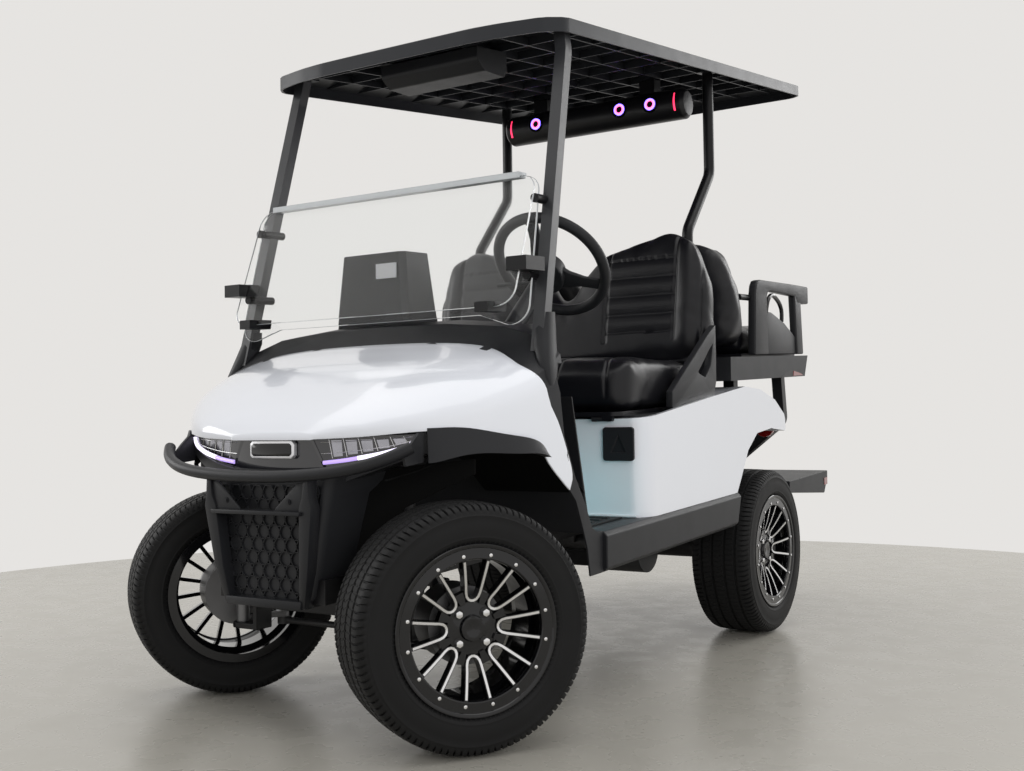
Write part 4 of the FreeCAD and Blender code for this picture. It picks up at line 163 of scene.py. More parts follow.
mat_rubber = finish("mat_rubber", (0.02, 0.021, 0.022), 0.62, grain=0.35, grain_scale=600,
                    Specular_IOR_Level=0.25)
clear_pane = finish("clear_pane", (0.985, 0.992, 0.992), 0.02, mottle=0.004, smear=0.012,
                    Transmission_Weight=1.0, IOR=1.28)
# Pale, half-clear finish: on the pane edges it is a painted glint of the light they catch; the fold strip
# wears it too
pane_rim_painted_glint = finish("pane_rim_painted_glint", (0.8, 0.83, 0.84), 0.2, Transmission_Weight=0.3)
inner_black = finish("inner_black", (0.003, 0.003, 0.003), 0.7, Specular_IOR_Level=0.1)
smoked_lens = finish("smoked_lens", (0.012, 0.012, 0.016), 0.08, Coat_Weight=1.0, Coat_Roughness=0.03)
red_lens = finish("red_lens", (0.22, 0.006, 0.006), 0.14, grain=0.4, grain_scale=240, cells=True,
                  Coat_Weight=0.8, Coat_Roughness=0.05)
# Pale white: the blank card's own colour, and also the painted line of light along the apron foot
white_card_and_painted_light = finish("blank_plate_and_painted_light", (0.82, 0.82, 0.85), 0.5)
badge_silver = finish("badge_silver", (0.84, 0.84, 0.86), 0.2, metallic=0.7, mottle=0.02)
lamp_bowl = finish("lamp_reflector", (0.42, 0.42, 0.46), 0.16, metallic=0.85, mottle=0.3, mottle_scale=30)
guard_coat = finish("guard_coat", (0.016, 0.0165, 0.0185), 0.4, grain=0.2, grain_scale=1100,
                    Specular_IOR_Level=0.28)
lamp_white = glow("lamp_guide", (0.86, 0.8, 1.0), 1.5, (0.6, 0.57, 0.68))
lamp_violet = glow("lamp_guide_violet", (0.5, 0.36, 0.9), 1.05, (0.35, 0.28, 0.5))
led_blue = glow("speaker_ring_blue", (0.2, 0.12, 1.0), 5.0)
led_pink = glow("speaker_ring_pink", (1.0, 0.1, 0.3), 4.0)
led_red = glow("speaker_end_red", (1.0, 0.03, 0.1), 2.6)
coil_paint = finish("spring_paint", (0.03, 0.03, 0.032), 0.3, Coat_Weight=0.4)


# Making pieces
WELD = 2e-5
FLAT_ANGLE = 0.8
SHARP_EDGE = 24.0


def make_piece(name, bm, body, material, angle=35.0):
    """Turns a bmesh into a piece with smooth faces and crisp edges, and puts it on its body."""
    mesh = bpy.data.meshes.new(name)
    bm.to_mesh(mesh)
    bm.free()
    piece = bpy.data.objects.new(name, mesh)
    bpy.context.scene.collection.objects.link(piece)
    mesh.materials.append(material)
    mesh.shade_smooth()
    mesh.set_sharp_from_angle(angle=math.radians(angle))
    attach(piece, body)
    return piece


def weighted(piece):
    """Keeps a piece's flat faces flat in their shading."""
    modifier = piece.modifiers.new("flat_faces", "WEIGHTED_NORMAL")
    modifier.keep_sharp = True
    return piece


def welded(node):
    """The CAD piece as one joined surface with its flat faces whole."""
    bm = bmesh.new()
    bm.from_mesh(nodes[node].data)
    for layer in list(bm.loops.layers.float_vector.values()):
        bm.loops.layers.float_vector.remove(layer)
    bmesh.ops.remove_doubles(bm, verts=bm.verts, dist=WELD)
    bmesh.ops.dissolve_limit(bm, angle_limit=math.radians(FLAT_ANGLE), verts=bm.verts, edges=bm.edges)
    return bm


def ease(bm, width, segments):
    """Rounds the sharp edges, by a width in millimetres."""
    edges = [edge for edge in bm.edges
             if len(edge.link_faces) == 2 and edge.calc_face_angle(0) > math.radians(SHARP_EDGE)]
    bmesh.ops.bevel(bm, geom=edges, offset=width * MM, offset_type="OFFSET", segments=segments, profile=0.5,
                    affect="EDGES", clamp_overlap=True, material=-1)


def dress(node, material, width=0.0, segments=2, angle=35.0):
    """A copy of a CAD piece with eased edges that takes its place."""
    bm = welded(node)
    if width:
        ease(bm, width, segments)
    piece = make_piece(node + "_dressed", bm, nodes[node]["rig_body"], material, angle)
    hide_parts(node)
    return weighted(piece)


def loft(rings, capped=True):
    """A skin through rings of points, closed at both ends where it is capped."""
    bm = bmesh.new()
    first = last = None
    for ring in rings:
        corners = [bm.verts.new(point) for point in ring]
        edges = [bm.edges.new((corners[k - 1], corners[k])) for k in range(len(corners))]
        if last:
            bmesh.ops.bridge_loops(bm, edges=last + edges)
        else:
            first = edges
        last = edges
    if capped:
        for loop in (first, last):
            bmesh.ops.edgeloop_fill(bm, edges=loop)
    return bm


def moved(bm, matrix):
    bmesh.ops.transform(bm, matrix=matrix, verts=bm.verts)
    return bm


def tidy(bm, distance=1e-6):
    """Merges a mesh's doubles, then turns its faces outwards."""
    bmesh.ops.remove_doubles(bm, verts=bm.verts, dist=distance)
    bmesh.ops.recalc_face_normals(bm, faces=bm.faces)
    return bm


def box_between(low, high):
    """A block from one corner to the other, lying along the rake."""
    bm = bmesh.new()
    bmesh.ops.create_cube(bm, size=1.0)
    for vert in bm.verts:
        x, y, z = [low[i] + (high[i] - low[i]) * (vert.co[i] + 0.5) for i in range(3)]
        vert.co = spot(x, y, z)
    return bm


def wire_run(points, radius, smooth=True, sides=3):
    """A round wire or bead along the points, as a bmesh."""
    curve = bpy.data.curves.new("run", "CURVE")
    curve.dimensions = "3D"
    curve.bevel_depth = radius * MM
    curve.bevel_resolution = sides
    curve.use_fill_caps = True
    curve.resolution_u = 6
    spline = curve.splines.new("NURBS" if smooth else "POLY")
    spline.points.add(len(points) - 1)
    for knot, point in zip(spline.points, points):
        knot.co = (*point, 1)
    if smooth:
        spline.order_u = 3
        spline.use_endpoint_u = True
    holder = bpy.data.objects.new("run", curve)
    mesh = bpy.data.meshes.new_from_object(holder)
    bm = bmesh.new()
    bm.from_mesh(mesh)
    bpy.data.objects.remove(holder)
    bpy.data.curves.remove(curve)
    bpy.data.meshes.remove(mesh)
    return bm


def join(parts):
    """Several bmeshes as one."""
    whole = bmesh.new()
    for part in parts:
        mesh = bpy.data.meshes.new("part")
        part.to_mesh(mesh)
        part.free()
        whole.from_mesh(mesh)
        bpy.data.meshes.remove(mesh)
    return whole


def both_sides(make):
    """The piece that make(side) returns, for the left (1) and the right (-1) side, as one bmesh."""
    return join([make(1), make(-1)])


def lathe(profile, steps):
    """Profile pairs (distance along x, radius) turned about the x axis, in millimetres."""
    bm = bmesh.new()
    verts = [bm.verts.new((x * MM, 0, r * MM)) for x, r in profile]
    edges = [bm.edges.new((verts[k], verts[k + 1])) for k in range(len(verts) - 1)]
    bmesh.ops.spin(bm, geom=verts + edges, axis=(1, 0, 0), cent=(0, 0, 0), angle=2 * math.pi, steps=steps,
                   use_merge=True)
    return tidy(bm)


def ring_round(corners, steps):
    """A closed section of places (distance out, height) turned about the z axis, in millimetres."""
    bm = bmesh.new()
    verts = [bm.verts.new(Vector((reach, 0, height)) * MM) for reach, height in corners]
    edges = [bm.edges.new((verts[k - 1], verts[k])) for k in range(len(verts))]
    bmesh.ops.spin(bm, geom=verts + edges, axis=(0, 0, 1), cent=(0, 0, 0), angle=2 * math.pi, steps=steps,
                   use_merge=True)
    return bm


def frame_loop(pairs, x0, x1, closed=True):
    """A frame that runs through pairs of (outer, inner) places (behind the axle, height), from x0 to x1."""
    rings = []
    for outer, inner in pairs:
        rings.append([spot(x0, *outer), spot(x0, *inner), spot(x1, *inner), spot(x1, *outer)])
    bm = loft(rings, capped=not closed)
    if closed:
        bm.verts.ensure_lookup_table()
        ends = [[bm.verts[k * 4 + i] for i in range(4)] for k in (0, len(rings) - 1)]
        loops = [[bm.edges.get((loop[i - 1], loop[i])) for i in range(4)] for loop in ends]
        bmesh.ops.bridge_loops(bm, edges=loops[0] + loops[1])
    return tidy(bm)


def plate(outline, x0, x1):
    """A flat plate with its outline (behind the axle, height), from x0 to x1."""
    return tidy(loft([[spot(x, *point) for point in outline] for x in (x0, x1)]))


def panel(outline, y0, y1):
    """A flat plate facing the front, with its outline (across, height)."""
    return tidy(loft([[spot(x, y, z) for x, z in outline] for y in (y0, y1)]))


def rod_between(start, end, radius, sides=24):
    bm = bmesh.new()
    along = end - start
    turn = along.to_track_quat("Z", "Y").to_matrix().to_4x4()
    place = Matrix.Translation((start + end) / 2) @ turn
    bmesh.ops.create_cone(bm, cap_ends=True, segments=sides, radius1=radius * MM, radius2=radius * MM,
                          depth=along.length, matrix=place)
    return bm


# Camera and light
LENS = 40.89
CAMERA_PLACE = (2.049, FRONT_AXLE_Y * MM - 2.351, 0.764)
CAMERA_YAW, CAMERA_TILT, CAMERA_ROLL = 32.33, 91.77, -0.8
FLOOR_RADIUS = 3.6
ROOM_LIGHT = (0.83, 0.83, 0.85, 1)
ROOM_STRENGTH = 0.56
ROOM_WALL = (0.79, 0.775, 0.755, 1)


def set_camera():
    bpy.context.scene.view_settings.view_transform = "Standard"
    data = bpy.data.cameras.new("photo_camera")
    data.sensor_width = 36.0
    data.lens = LENS
    data.clip_end = 100.0
    camera = bpy.data.objects.new("photo_camera", data)
    turn = turn_about("Z", CAMERA_YAW) @ turn_about("X", CAMERA_TILT) @ turn_about("Z", CAMERA_ROLL)
    camera.matrix_world = Matrix.Translation(CAMERA_PLACE) @ turn
    bpy.context.scene.collection.objects.link(camera)
    bpy.context.scene.camera = camera


def soft_box(name, place, aim, size, watts, colour=(1, 1, 1), glossy=True):
    data = bpy.data.lights.new(name, "AREA")
    data.shape = "RECTANGLE"
    data.size, data.size_y = size
    data.energy = watts
    data.color = colour
    lamp = bpy.data.objects.new(name, data)
    lamp.location = place
    lamp.visible_glossy = glossy
    lamp.rotation_euler = (Vector(aim) - Vector(place)).to_track_quat("-Z", "Y").to_euler()
    bpy.context.scene.collection.objects.link(lamp)


def set_studio():
    soft_box("ceiling_box", (0.0, -0.4, 5.2), (0, 0, 0), (7.0, 6.0), 116)
    soft_box("front_box", (6.2, -4.2, 2.2), (0, -0.2, 0.7), (4.4, 3.2), 165, glossy=False)
    soft_box("side_box", (-5.2, -2.6, 2.6), (0, 0, 0.8), (3.2, 2.6), 75)
    soft_box("back_box", (2.5, 5.4, 3.0), (0, 0.5, 0.9), (3.0, 2.2), 65)
    soft_box("footwell_glow", spot(260, 470, 500), spot(300, 672, 520), (0.5, 0.12), 0.42, (0.22, 0.72, 0.78),
             glossy=False)
    floor = bmesh.new()
    bmesh.ops.create_circle(floor, cap_ends=True, segments=96, radius=FLOOR_RADIUS)
    mesh = bpy.data.meshes.new("floor")
    floor.to_mesh(mesh)
    floor.free()
    ground = bpy.data.objects.new("floor", mesh)
    bpy.context.scene.collection.objects.link(ground)
    mesh.materials.append(finish("pale_floor", (0.46, 0.44, 0.385), 0.28, mottle=0.05, mottle_scale=3,
                                 smear=0.1, grain=0.05, grain_scale=60))
    world = bpy.data.worlds.new("pale_room")
    bpy.context.scene.world = world
    world.use_nodes = True
    tree = world.node_tree
    sky = tree.nodes["Background"]
    sky.inputs["Color"].default_value = ROOM_LIGHT
    sky.inputs["Strength"].default_value = ROOM_STRENGTH
    seen = tree.nodes.new("ShaderNodeBackground")
    seen.inputs["Color"].default_value = ROOM_WALL
    path = tree.nodes.new("ShaderNodeLightPath")
    glossy = tree.nodes.new("ShaderNodeMath")
    glossy.operation = "MAXIMUM"
    either = tree.nodes.new("ShaderNodeMath")
    either.operation = "MAXIMUM"
    mix = tree.nodes.new("ShaderNodeMixShader")
    tree.links.new(path.outputs["Is Glossy Ray"], glossy.inputs[0])
    tree.links.new(path.outputs["Is Transmission Ray"], glossy.inputs[1])
    tree.links.new(glossy.outputs["Value"], either.inputs[0])
    tree.links.new(path.outputs["Is Camera Ray"], either.inputs[1])
    tree.links.new(either.outputs["Value"], mix.inputs["Fac"])
    tree.links.new(sky.outputs["Background"], mix.inputs[1])
    tree.links.new(seen.outputs["Background"], mix.inputs[2])
    tree.links.new(mix.outputs["Shader"], tree.nodes["World Output"].inputs["Surface"])


# Wheels: a tyre's half section is (distance from its middle, radius), its slots (share of a pitch, depth)
TREAD_PITCHES = 104
RIB_EDGES = ((0.0, 290.0), (16.0, 289.8), (18.0, 283.5), (25.0, 283.3), (27.0, 289.4), (54.0, 288.6),
             (56.0, 282.0), (63.0, 281.6), (65.0, 287.8), (80.0, 286.4), (90.0, 284.0), (97.0, 279.0),
             (101.5, 272.0), (103.5, 266.0))
SIDE_RINGS = ((104.4, 262.0), (105.6, 261.0), (105.6, 258.5), (105.0, 257.0), (107.2, 244.0), (107.9, 230.0),
              (106.9, 217.0), (106.2, 213.0), (106.6, 211.5), (105.6, 209.5), (103.4, 205.5), (99.8, 201.4),
              (97.6, 199.4), (96.7, 197.0), (96.7, 181.5))
SIPE_STEPS = ((0.0, 0.0), (0.06, 1.0), (0.26, 1.0), (0.32, 0.0), (1.0, 0.0))
SHOULDER = (65.0, 102.0)
SHOULDER_SIPE = 6.5
SHOULDER_EDGE = 98.0
EDGE_SHARE = 0.45
SIDE_RIB = (27.0, 54.0)
MIDDLE_RIB = 16.0
RIB_SIPE = 1.6
SIPE_SKEW = 0.8
SKEW_REACH = 104.0
SIPE_WAVE = 0.35
WAVE_LENGTH = 18.0


def about_axle(x, radius, turn):
    """A place on a wheel that stands on the x axis."""
    return Vector((x, radius * math.sin(turn), radius * math.cos(turn)))


def tyre():
    """A low road tyre: four grooves round it, slots across its ribs and shoulders, and plain ringed walls."""
    half = list(RIB_EDGES) + list(SIDE_RINGS)
    profile = [(-x, r) for x, r in reversed(half[1:])] + half
    pitch = 2 * math.pi / TREAD_PITCHES
    bm = bmesh.new()
    bmesh.ops.create_grid(bm, x_segments=len(profile) - 1, y_segments=len(SIPE_STEPS) - 1, size=0.5)
    for vert in bm.verts:
        across = round((vert.co.x + 0.5) * (len(profile) - 1))
        along = round((vert.co.y + 0.5) * (len(SIPE_STEPS) - 1))
        x, radius = profile[across]
        share, cut = SIPE_STEPS[along]
        reach = abs(x)
        if SHOULDER[0] < reach < SHOULDER[1]:
            radius -= cut * SHOULDER_SIPE * (EDGE_SHARE if reach > SHOULDER_EDGE else 1.0)
        elif SIDE_RIB[0] <= reach <= SIDE_RIB[1] or reach <= MIDDLE_RIB:
            radius -= cut * RIB_SIPE
        lean = SIPE_SKEW * math.copysign(min(reach, SKEW_REACH) / SKEW_REACH, x)
        lean += SIPE_WAVE * math.sin(reach / WAVE_LENGTH)
        vert.co = about_axle(x, radius, pitch * (share + lean)) * MM
    bmesh.ops.spin(bm, geom=bm.verts[:] + bm.edges[:] + bm.faces[:], axis=(1, 0, 0), cent=(0, 0, 0),
                   angle=2 * math.pi, steps=TREAD_PITCHES, use_duplicate=True)
    return tidy(bm, 2e-5)


# A pair of spokes as (radius, degrees from its middle, distance out), from the barrel in to the hub
SPOKE_START = (165.0, 10.6, 98.0)
SILVER_START = (158.0, 10.65, 96.4)
SPOKE_PATH = ((130.0, 10.9, 88.5), (100.0, 11.4, 79.0), (84.0, 11.9, 72.5), (74.0, 11.2, 69.0),
              (67.0, 8.0, 67.0), (63.5, 3.0, 66.0))
SPOKE_PAIRS = 8
SPOKE_HALF = 5.4
SPOKE_DEEP = 23.0
SPOKE_TAPER = 0.86
SILVER_HALF = SPOKE_HALF * 0.6
SILVER_RISE = 0.9
SILVER_DEEP = 1.5
RIM_PROFILE = ((-104, 174), (-104, 196.6), (-102.6, 198), (-98.4, 198), (-97, 196.6), (-97, 181),
               (-66, 180.6), (-50, 168), (20, 168), (40, 180.6), (97, 181), (97, 196.4), (98.6, 198),
               (102.4, 198), (104, 196.4), (104, 191), (102.6, 188.5), (100.2, 187), (100.2, 164),
               (98.4, 161.4), (95, 160.4), (84, 160.4), (80, 165), (60, 172.7), (40, 172.9), (22, 162),
               (-52, 162), (-68, 173), (-104, 174))
HUB_PROFILE = ((22, 0.01), (22, 60), (26, 64), (58, 64), (62, 61), (62, 34), (63, 31), (66, 30), (71, 28),
               (72, 22), (70.6, 16), (70.2, 0.01))
WEB_CORNERS = ((58, 0.5), (58, 0.285), (87, 0.26), (87, 0.525))
WEB_FACES = (46, 68)
RIVETS, RIVET_CIRCLE, RIVET_X = 16, 172.0, 100.0
NUTS, NUT_CIRCLE, NUT_X = 4, 47.0, 60.0
LOBES, LOBE_CIRCLE, LOBE_X = 8, 24.0, 66.0


def spoke_rings(start, half, top, deep):
    """The cross-sections of a pair of spokes: its path runs in from start, round by the hub and out again."""
    arm = [start, *SPOKE_PATH]
    path = arm + [(radius, -angle, face) for radius, angle, face in reversed(arm)]
    points = [(about_axle(0, radius, math.radians(angle)), face) for radius, angle, face in path]
    rings = []
    for k, (here, face) in enumerate(points):
        ahead = points[min(k + 1, len(points) - 1)][0] - points[max(k - 1, 0)][0]
        across = Vector((0, -ahead.z, ahead.y)).normalized() * half
        up = Vector((face + top, 0, 0))
        low = Vector((face - deep, 0, 0))
        rings.append([(here + across + low) * MM, (here - across + low) * MM,
                      (here - across * SPOKE_TAPER + up) * MM, (here + across * SPOKE_TAPER + up) * MM])
    return rings


def studs(count, circle, x, height, radius, sides, start=0.0):
    """Round or six-sided heads evenly round the wheel's centre, standing out from x."""
    heads = []
    for k in range(count):
        seat = about_axle(x, circle, 2 * math.pi * (k + start) / count)
        heads.append(rod_between(seat * MM, (seat + Vector((height, 0, 0))) * MM, radius, sides))
    return heads


def rim_parts():
    """The gloss black wheel, and its machined faces, rivets and nuts, about the x axis."""
    black = [lathe(RIM_PROFILE, 96), lathe(HUB_PROFILE, 64)]
    silver = []
    for k in range(SPOKE_PAIRS):
        spin = Matrix.Rotation(2 * math.pi * k / SPOKE_PAIRS, 4, "X")
        arm = loft(spoke_rings(SPOKE_START, SPOKE_HALF, 0.0, SPOKE_DEEP))
        face = loft(spoke_rings(SILVER_START, SILVER_HALF, SILVER_RISE, SILVER_DEEP))
        web = loft([[about_axle(x, radius, turn) * MM for radius, turn in WEB_CORNERS] for x in WEB_FACES])
        black += [moved(arm, spin), moved(web, spin)]
        silver.append(moved(face, spin))
    rivets = studs(RIVETS, RIVET_CIRCLE, RIVET_X, 3.4, 4.6, 12, 0.5)
    nuts = studs(NUTS, NUT_CIRCLE, NUT_X, 12.0, 9.6, 6, 0.5)
    for heads, width in ((rivets, 1.2), (nuts, 2.2)):
        for head in heads:
            ease(head, width, 2)
        silver += heads
    black += studs(NUTS, NUT_CIRCLE, NUT_X, 3.0, 13.5, 24, 0.5)
    black += studs(LOBES, LOBE_CIRCLE, LOBE_X, 5.6, 5.0, 10)
    return join(black), join(silver)


def wheel_places():
    """Each wheel's name and its place, which mirrors the right-hand ones."""
    rear_y = (FRONT_AXLE_Y + WHEELBASE) * MM
    steer = turn_about("Z", -REST_STEER)
    hub = Matrix.Translation((SPINDLE * MM, 0, 0))
    left = Matrix.Translation((KINGPIN_X * MM, FRONT_AXLE_Y * MM, AXLE_Z * MM)) @ steer @ hub
    right = (Matrix.Translation((-KINGPIN_X * MM, FRONT_AXLE_Y * MM, AXLE_Z * MM)) @ steer
             @ Matrix.Translation((-SPINDLE * MM, 0, 0)))
    flip = Matrix.Diagonal((-1, 1, 1, 1))
    return (("front_left", left), ("front_right", right @ flip),
            ("rear_left", Matrix.Translation((REAR_WHEEL_X * MM, rear_y, AXLE_Z * MM))),
            ("rear_right", Matrix.Translation((-REAR_WHEEL_X * MM, rear_y, AXLE_Z * MM)) @ flip))


def placed(bm, matrix):
    """A copy of a part at its place, with its faces turned back outwards where the place mirrors it."""
    copy = moved(bm.copy(), matrix)
    if matrix.determinant() < 0:
        bmesh.ops.reverse_faces(copy, faces=copy.faces)
    return copy


def make_wheels():
    rubber_ring = tyre()
    black, silver = rim_parts()
    for part in (black, silver):
        bmesh.ops.recalc_face_normals(part, faces=part.faces)
    for name, place in wheel_places():
        body = name + "_wheel"
        ring = make_piece(name + "_road_tyre", placed(rubber_ring, place), body, rubber, 40)
        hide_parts(name + "_tyre")
        wheel = make_piece(name + "_wheel_black", placed(black, place), body, gloss_black, 30)
        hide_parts(name + "_rim")
        make_piece(name + "_wheel_silver", placed(silver, place), body, machined, 30)


# Front body: the rows of NOSE_SHARES are (share of the way back, half width, crown, shoulder)
NOSE_Y = -237.0
NOSE_Z = 744.0
COWL_REAR = 300.0
COWL_RISE = 292.0
BODY_HALF = 590.0
ARCH_POWER = 3.2
NOSE_SHARES = ((0.0, 0.22, 0.03, 0.0), (0.06, 0.458, 0.14, 0.014), (0.21, 0.686, 0.322, 0.027),
               (0.441, 0.881, 0.551, 0.09), (0.665, 0.966, 0.705, 0.19), (0.758, 0.978, 0.781, 0.24),
               (0.86, 0.988, 0.959, 0.31), (1.0, 0.997, 1.0, 0.33))
HOOD_LOWER = ((0.0, -0.02), (0.21, 0.02), (0.47, -0.055), (0.6, -0.095), (0.67, -0.2), (0.7, -0.285),
              (0.872, -0.575))
HOOD_REAR = ((0.0, 0.762), (0.2, 0.745), (0.396, 0.678), (0.49, 0.657), (0.68, 0.714), (0.765, 0.8),
             (0.949, 0.9), (1.0, 0.876))
SIDE_DEPTH = 356.0
HOOD_ACROSS, HOOD_ALONG = 96, 40
HOOD_CROWDING = 1.5
LIP_DROP = 7.0
HOOD_WALL = 0.004
HOOD_EDGE = 0.0012
HOOD_CREASE = 50


def along_curve(rows, x):
    """Smooth value between tabled rows (x, value, ...): a cubic that doesn't overshoot."""
    k = 0
    while k < len(rows) - 2 and x > rows[k + 1][0]:
        k += 1
    x0, x1 = rows[k][0], rows[k + 1][0]
    t = min(1.0, max(0.0, (x - x0) / (x1 - x0)))
    out = []
    for column in range(1, len(rows[0])):
        v0, v1 = rows[k][column], rows[k + 1][column]
        slope = (v1 - v0) / (x1 - x0)
        before = (v0 - rows[k - 1][column]) / (x0 - rows[k - 1][0]) if k else slope
        after = ((rows[k + 2][column] - v1) / (rows[k + 2][0] - x1)) if k + 2 < len(rows) else slope
        m0 = 0.0 if before * slope <= 0 else 2 * before * slope / (before + slope)
        m1 = 0.0 if after * slope <= 0 else 2 * after * slope / (after + slope)
        if not k:
            m0 = slope
        if k + 2 == len(rows):
            m1 = slope
        h = x1 - x0
        value = ((2 * t ** 3 - 3 * t ** 2 + 1) * v0 + (t ** 3 - 2 * t ** 2 + t) * h * m0
                 + (3 * t ** 2 - 2 * t ** 3) * v1 + (t ** 3 - t ** 2) * h * m1)
        out.append(value)
    return out


def nose_point(share, girth):
    """A point of the front body: share of the way back, and girth 0 in the middle and 1 at the shoulder."""
    half, crown, shoulder = along_curve(NOSE_SHARES, share)
    half = half * BODY_HALF
    top = NOSE_Z + COWL_RISE * crown
    edge = NOSE_Z + COWL_RISE * shoulder
    y = NOSE_Y + (COWL_REAR - NOSE_Y) * share
    side = math.copysign(1.0, girth)
    reach = abs(girth)
    if reach <= 1.0:
        angle = math.pi / 2 * (1 - reach)
        x = half * math.cos(angle) ** (2 / ARCH_POWER)
        z = edge + (top - edge) * math.sin(angle) ** (2 / ARCH_POWER)
        return spot(side * x, y, z)
    return spot(side * half, y, edge - SIDE_DEPTH * (reach - 1.0))


def lower_girth(share):
    """The girth at which the hood ends, at a share of the way back."""
    foot = NOSE_Z + COWL_RISE * along_curve(HOOD_LOWER, min(share, HOOD_LOWER[-1][0]))[0]
    edge = NOSE_Z + COWL_RISE * along_curve(NOSE_SHARES, share)[2]
    return 1.0 + max(0.0, edge - foot) / SIDE_DEPTH


def make_hood():
    bm = bmesh.new()
    bmesh.ops.create_grid(bm, x_segments=HOOD_ACROSS, y_segments=HOOD_ALONG, size=0.5)
    for vert in bm.verts:
        girth = vert.co.x * 2
        back = (vert.co.y + 0.5) ** HOOD_CROWDING
        share = along_curve(HOOD_REAR, abs(girth))[0] * back
        vert.co = nose_point(share, girth * lower_girth(share))
        if back < 1e-4:
            vert.co = spot(vert.co.x / MM, NOSE_Y, NOSE_Z - LIP_DROP)
    tidy(bm)
    if sum(f.normal.z for f in bm.faces) < 0:
        bmesh.ops.reverse_faces(bm, faces=bm.faces)
    hood = make_piece("hood_moulding", bm, "cart_body", white_paint, HOOD_CREASE)
    wall = hood.modifiers.new("wall", "SOLIDIFY")
    wall.thickness = HOOD_WALL
    wall.offset = -1.0
    edge = hood.modifiers.new("edge", "BEVEL")
    edge.width = HOOD_EDGE
    edge.segments = 2
    edge.limit_method = "ANGLE"
    edge.angle_limit = math.radians(HOOD_CREASE)
    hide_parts("hood")


# Soft seats: a form is drawn in by SEAT_SHRINK, then swells by SEAT_PUFF at most, in millimetres
SEAT_SHRINK = 9
SEAT_PUFF = 12
SEAT_VOXEL = 0.009
CUSHION_ROUNDS = 14
BACK_ROUNDS = 34
BACK_BELLY = 26
PUFF_FRAMES = 16
CLOTH_VALUES = (("quality", 4), ("mass", 0.2), ("tension_stiffness", 12), ("compression_stiffness", 12),
                ("bending_stiffness", 1.2), ("use_pressure", True), ("uniform_pressure_force", 4.0))


def soften(bm, rounds):
    """Wears the corners of an even mesh down into soft curves."""
    for _ in range(rounds):
        bmesh.ops.smooth_vert(bm, verts=bm.verts, factor=0.5, use_axis_x=True, use_axis_y=True,
                              use_axis_z=True)


def inflate(form):
    """Blows a form up for a short while as cloth under pressure."""
    cloth = form.modifiers.new("fill", "CLOTH")
    for setting, value in CLOTH_VALUES:
        setattr(cloth.settings, setting, value)
    cloth.settings.effector_weights.gravity = 0.0
    scene = bpy.context.scene
    for k in range(1, PUFF_FRAMES + 1):
        scene.frame_set(k)
    form.data = settled(form)
    form.modifiers.clear()
    scene.frame_set(1)


def stuffed(node, rounds):
    """A plump form grown from a CAD cushion, no more than SEAT_PUFF past its place, as a bmesh."""
    bm = bmesh.new()
    bm.from_mesh(nodes[node].data)
    bmesh.ops.remove_doubles(bm, verts=bm.verts, dist=1e-5)
    low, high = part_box(node)
    middle = (low + high) / 2
    for vert in bm.verts:
        for i in range(3):
            size = high[i] - low[i]
            vert.co[i] = middle[i] + (vert.co[i] - middle[i]) * (1 - 2 * SEAT_SHRINK * MM / size)
    mesh = bpy.data.meshes.new(node + "_form")
    bm.to_mesh(mesh)
    bm.free()
    form = bpy.data.objects.new(node + "_form", mesh)
    bpy.context.scene.collection.objects.link(form)
    remesh = form.modifiers.new("even", "REMESH")
    remesh.mode = "VOXEL"
    remesh.voxel_size = SEAT_VOXEL
    form.data = settled(form)
    form.modifiers.clear()
    bm = bmesh.new()
    bm.from_mesh(form.data)
    soften(bm, rounds)
    bm.to_mesh(form.data)
    bm.free()
    start = [vert.co.copy() for vert in form.data.vertices]
    inflate(form)
    bm = bmesh.new()
    bm.from_mesh(form.data)
    for vert, home in zip(bm.verts, start):
        move = vert.co - home
        if move.length > SEAT_PUFF * MM:
            vert.co = home + move.normalized() * SEAT_PUFF * MM
    soften(bm, 3)
    bpy.data.objects.remove(form)
    return bm


def settled(piece):
    """The piece's mesh with its modifiers applied."""
    graph = bpy.context.evaluated_depsgraph_get()
    return bpy.data.meshes.new_from_object(piece.evaluated_get(graph))


def groove(distance, width, depth):
    """How deep a seam pulls its cover in, at a distance from it."""
    return -depth * math.exp(-(distance / width) ** 2)


def smooth_step(value, low, high):
    t = min(1.0, max(0.0, (value - low) / (high - low)))
    return t * t * (3 - 2 * t)


CHANNEL_X = (178.0, 437.0)
CHANNEL_Z = (1002.0, 1066.0, 1130.0, 1193.0, 1257.0)
CHANNEL_DEPTH = 7.0
CHANNEL_ROLL = 26.0
SEAM_WIDTH = 5.5
EDGE_SEAM_X = 524
BOLSTER_X, BOLSTER_WIDTH, BOLSTER_RISE = 480, 36.0, 12.0
BELLY_REACH = (380, 560)
SHOULDER_REACH = (220, 430)
SHOULDER_SHARES = (0.62, 0.92)
REAR_BACK_DROP = 20


def local(point):
    """A frame point as millimetres behind the front axle, above the raked floor line."""
    y = point.y / MM - FRONT_AXLE_Y
    return point.x / MM, y, point.z / MM - RAKE * y


def back_relief(x, y, z):
    """How far a backrest's front stands proud: rolls between its seams, and a bolster at each side."""
    reach = abs(x)
    x0, x1 = CHANNEL_X
    inside = smooth_step(reach, x0 - 4, x0 + 6) * (1 - smooth_step(reach, x1 - 6, x1 + 4))
    rise = 0.0
    low, high = CHANNEL_Z[0], CHANNEL_Z[-1]
    if low <= z <= high and inside > 0:
        gap = min(abs(z - seam) for seam in CHANNEL_Z)
        rise += inside * CHANNEL_DEPTH * (min(1.0, gap / CHANNEL_ROLL) ** 0.5 - 1.0)
    for seam in CHANNEL_X:
        if z > low - 30:
            rise += groove(reach - seam, SEAM_WIDTH, 7.0)
    rise += groove(reach - EDGE_SEAM_X, SEAM_WIDTH, 6.0) if z > 940 else 0.0
    bolster = BOLSTER_RISE * math.exp(-((reach - BOLSTER_X) / BOLSTER_WIDTH) ** 2) * smooth_step(z, 900, 1000)
    return rise + bolster


